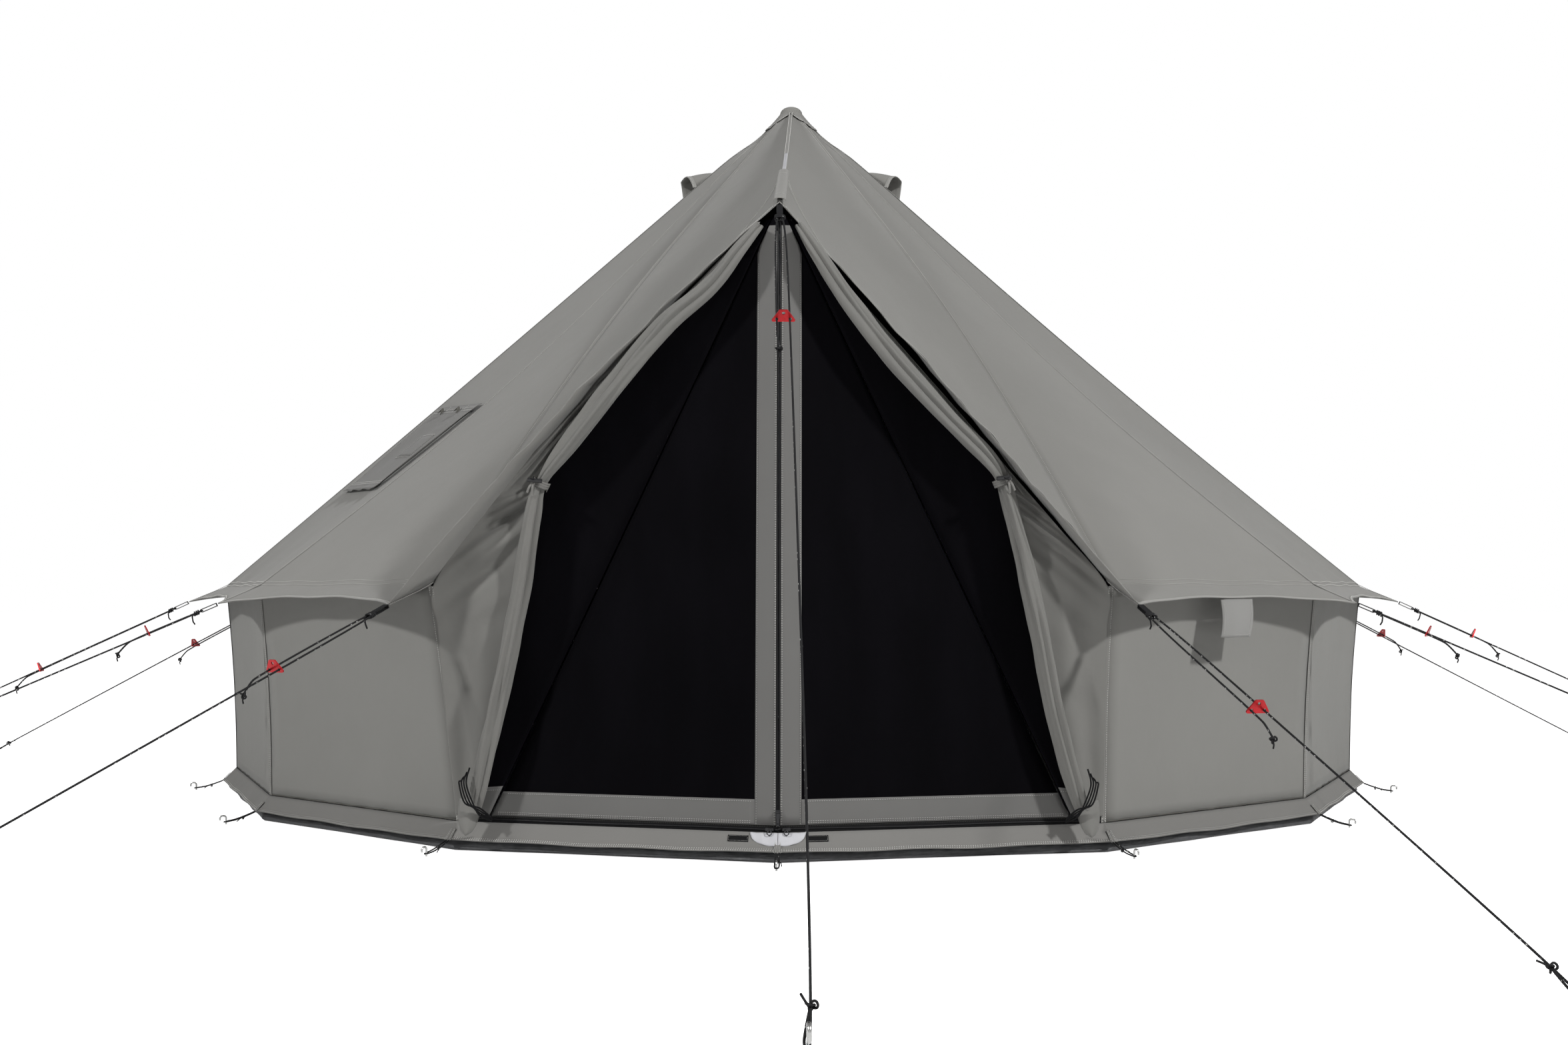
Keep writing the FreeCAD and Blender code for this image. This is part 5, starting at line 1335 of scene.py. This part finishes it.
fs_ = Shape()
fn = gnorm(FK, 1.8)
for ln in ([(0.03, 0.02), (0.03, 0.90)], [(0.955, 0.02), (0.955, 0.90)], [(0.02, 0.045), (0.97, 0.045)], [(0.02, 0.075), (0.97, 0.075)],
           [(0.02, 0.905), (0.97, 0.905)], [(0.02, 0.925), (0.97, 0.925)],
           [(0.44, 0.36), (0.80, 0.36), (0.80, 0.62), (0.44, 0.62), (0.44, 0.36)],
           [(0.30, 0.005), (0.30, 0.075)], [(0.74, 0.005), (0.74, 0.075)]):
    pp = flap_line(ln)
    fs_.stitches(pp, [fn] * len(pp), pitch=0.0075, width=0.0018)
fs_.make("stove_flap_stitching", "thread", "stove_flap")
lab = Shape()
rows = [[gorep(FK, lerp(-FW, FW, u) + SHIFT, lerp(RA, RB, v), 0.0116 + 0.0022 * math.sin(u * 9.0 + v * 4.0) * math.sin(pi * v))
         for u in [0.445 + 0.35 * j / 12 for j in range(13)]] for v in [0.365 + 0.25 * i / 8 for i in range(9)]]
lab.grid(rows, flip=True)
lab.make("stove_flap_panel", "flap", "stove_flap", sharp=50, solid=0.0010, offset=0.0)
# ties that hold the flap when it is rolled up
tb = Shape()
for u in (0.22, 0.62):
    c = gorep(FK, lerp(-FW, FW, u) + SHIFT, RA + 0.022, 0.014)
    ax = (gorep(FK, 0.2, RA, 0.0) - gorep(FK, 0.0, RA, 0.0)).normalized()
    dn = (gorep(FK, 0.0, RA + 0.1, 0.0) - gorep(FK, 0.0, RA, 0.0)).normalized()
    for q in range(3):
        pp = through([c - ax * 0.022, c - ax * 0.008 + dn * (0.010 + 0.006 * q) + fn * 0.006, c + ax * 0.012 + dn * 0.004 * q + fn * 0.010,
                      c + ax * 0.030 + dn * (0.012 + 0.008 * q)], 16)
        tb.strip(pp, [fn] * 16, 0.006, 0.0016)
tb.make("stove_flap_ties", "thread_dark", "stove_flap")

rows = [[gorep(FK, lerp(-FW + 0.04, FW - 0.04, j / 16) + SHIFT, lerp(RA + 0.036, RB - 0.030, i / 16), 0.0040) for j in range(17)] for i in range(17)]
hp = Shape().grid(rows, flip=True).make("stove_patch_cloth", "heat", solid=0.0016, offset=0.0)
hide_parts("stove_patch")
pr = Shape()
rc = (RA + RB) / 2
for rr in (0.090, 0.175):
    cl = []
    for i in range(61):
        a = 2 * pi * i / 60
        cl.append(gorep(FK, SHIFT + rr * math.cos(a), rc + rr * math.sin(a) / SLOPE, 0.0052))
    pr.stitches(cl, [fn] * 61, pitch=0.007)
pr.make("stove_patch_stitching", "thread_dark")

# ------------------------------------------------------------------ blank care tag under the right eave
tg = Shape()
rows = []
top = roofp(1, 0.485, 1.0 + E * 0.97)
along = (roofp(1, 0.56, 1.0 + E * 0.97) - roofp(1, 0.41, 1.0 + E * 0.97)).normalized()
outw = V((along.y, -along.x, 0)).normalized()
for i in range(17):
    v = i / 16
    row = []
    for j in range(17):
        u = j / 16
        lean = 0.020 * (1 - v) * (u - 0.5)
        p = top + along * ((u - 0.5) * 0.162 + 0.012 * (1 - v)) - V((0, 0, 0.006 + 0.128 * v))
        p += outw * (0.010 * math.sin(pi * v * 0.9) + 0.010 * (u - 0.5) * (1 - v) + 0.004 * math.sin(u * 5.0))
        row.append(p)
    rows.append(row)
tg.grid(rows)
tag_o = tg.make("care_tag", "tag", sharp=60, solid=0.0012, offset=0.0)
tt = Shape()
inset = [(0.06, 0.10), (0.06, 0.95), (0.94, 0.95), (0.94, 0.10)]
for a, b in zip(inset, inset[1:]):
    pts = [rows[int(round(lerp(a[1], b[1], i / 12) * 16))][int(round(lerp(a[0], b[0], i / 12) * 16))] for i in range(13)]
    pts = [p for i, p in enumerate(pts) if i == 0 or (p - pts[i - 1]).length > 1e-5]
    tt.stitches(pts, [outw] * len(pts), pitch=0.005, lift=0.0012, width=0.0011)
tt.make("care_tag_stitching", "thread")


for tag in ("left", "right"):
    o = bpy.data.objects["mesh_leaf_" + tag]
    o = bpy.data.objects["door_border_" + tag]

# ------------------------------------------------------------------ CAD nodes that stay
KEEP = {"centre_pole_foot": "rubber", "centre_pole_cap": "rubber", "centre_pole_lower": "pole", "centre_pole_middle": "pole",
        "centre_pole_upper": "pole", "a_frame_leg_left": "pole", "a_frame_leg_right": "pole", "a_frame_joiner": "pole",
        "front_webbing": "web", "eave_loops": "web", "guy_stakes": "peg", "skirt_pegs": "peg", "door_toggles": "toggle",
        "centre_zip_slider": "zipmetal", "centre_zip_pull": "zipmetal", "threshold_slider_left": "zipmetal",
        "threshold_slider_right": "zipmetal"}
for n_ in NODES:
    if n_.startswith("guy_runner_"):
        KEEP[n_] = "runner"
for n_, m_ in KEEP.items():
    o = NODES[n_]
    if not o.data.materials:
        o.data.materials.append(M[m_])
    for s_ in o.material_slots:
        s_.material = M[m_]

# ------------------------------------------------------------------ floor, light
fm = bpy.data.meshes.new("floor")
fm.from_pydata([(-60, -60, 0), (60, -60, 0), (60, 60, 0), (-60, 60, 0)], [], [(0, 1, 2, 3)])
floor = bpy.data.objects.new("floor", fm)
floor.location.z = -0.0012
bpy.context.scene.collection.objects.link(floor)
fmat, fb, flink = start("floor_white", Roughness=0.9, Base_Color=(0.80, 0.80, 0.80, 1), Specular_IOR_Level=0.05)
fb.inputs["Emission Color"].default_value = (1, 1, 1, 1)
flp = fmat.node_tree.nodes.new("ShaderNodeLightPath")
flink(math_node(fmat, "MULTIPLY", flp.outputs["Is Camera Ray"], 0.86), fb.inputs["Emission Strength"])
fm.materials.append(fmat)

world = bpy.data.worlds.new("studio")
bpy.context.scene.world = world
world.use_nodes = True
wn = world.node_tree
bg = wn.nodes["Background"]
bg.inputs["Color"].default_value = (1, 1, 1, 1)
bg.inputs["Strength"].default_value = 0.265
bg2 = wn.nodes.new("ShaderNodeBackground")
bg2.inputs["Color"].default_value = (1, 1, 1, 1)
bg2.inputs["Strength"].default_value = 1.0
lp = wn.nodes.new("ShaderNodeLightPath")
mx = wn.nodes.new("ShaderNodeMixShader")
wn.links.new(lp.outputs["Is Camera Ray"], mx.inputs[0])
wn.links.new(bg.outputs[0], mx.inputs[1])
wn.links.new(bg2.outputs[0], mx.inputs[2])
wn.links.new(mx.outputs[0], wn.nodes["World Output"].inputs[0])


def area(name, loc, target, size, power):
    d = bpy.data.lights.new(name, "AREA")
    d.shape = "SQUARE"
    d.size = size
    d.energy = power
    o = bpy.data.objects.new(name, d)
    o.location = loc
    o.rotation_euler = (V(target) - V(loc)).to_track_quat("-Z", "Y").to_euler()
    bpy.context.scene.collection.objects.link(o)
    return o


area("key_right", (9.0, -8.6, 8.6), (0, 0, 1.0), 0.8, 1560)
area("key_left", (-9.0, -8.6, 8.0), (0, 0, 1.0), 0.8, 1060)
area("fill_front", (0.0, -14.0, 3.0), (0, 0, 1.2), 6.0, 60)
area("back", (0.0, 12.0, 7.0), (0, 0, 1.2), 6.0, 300)
bpy.context.scene.view_settings.view_transform = "Standard"
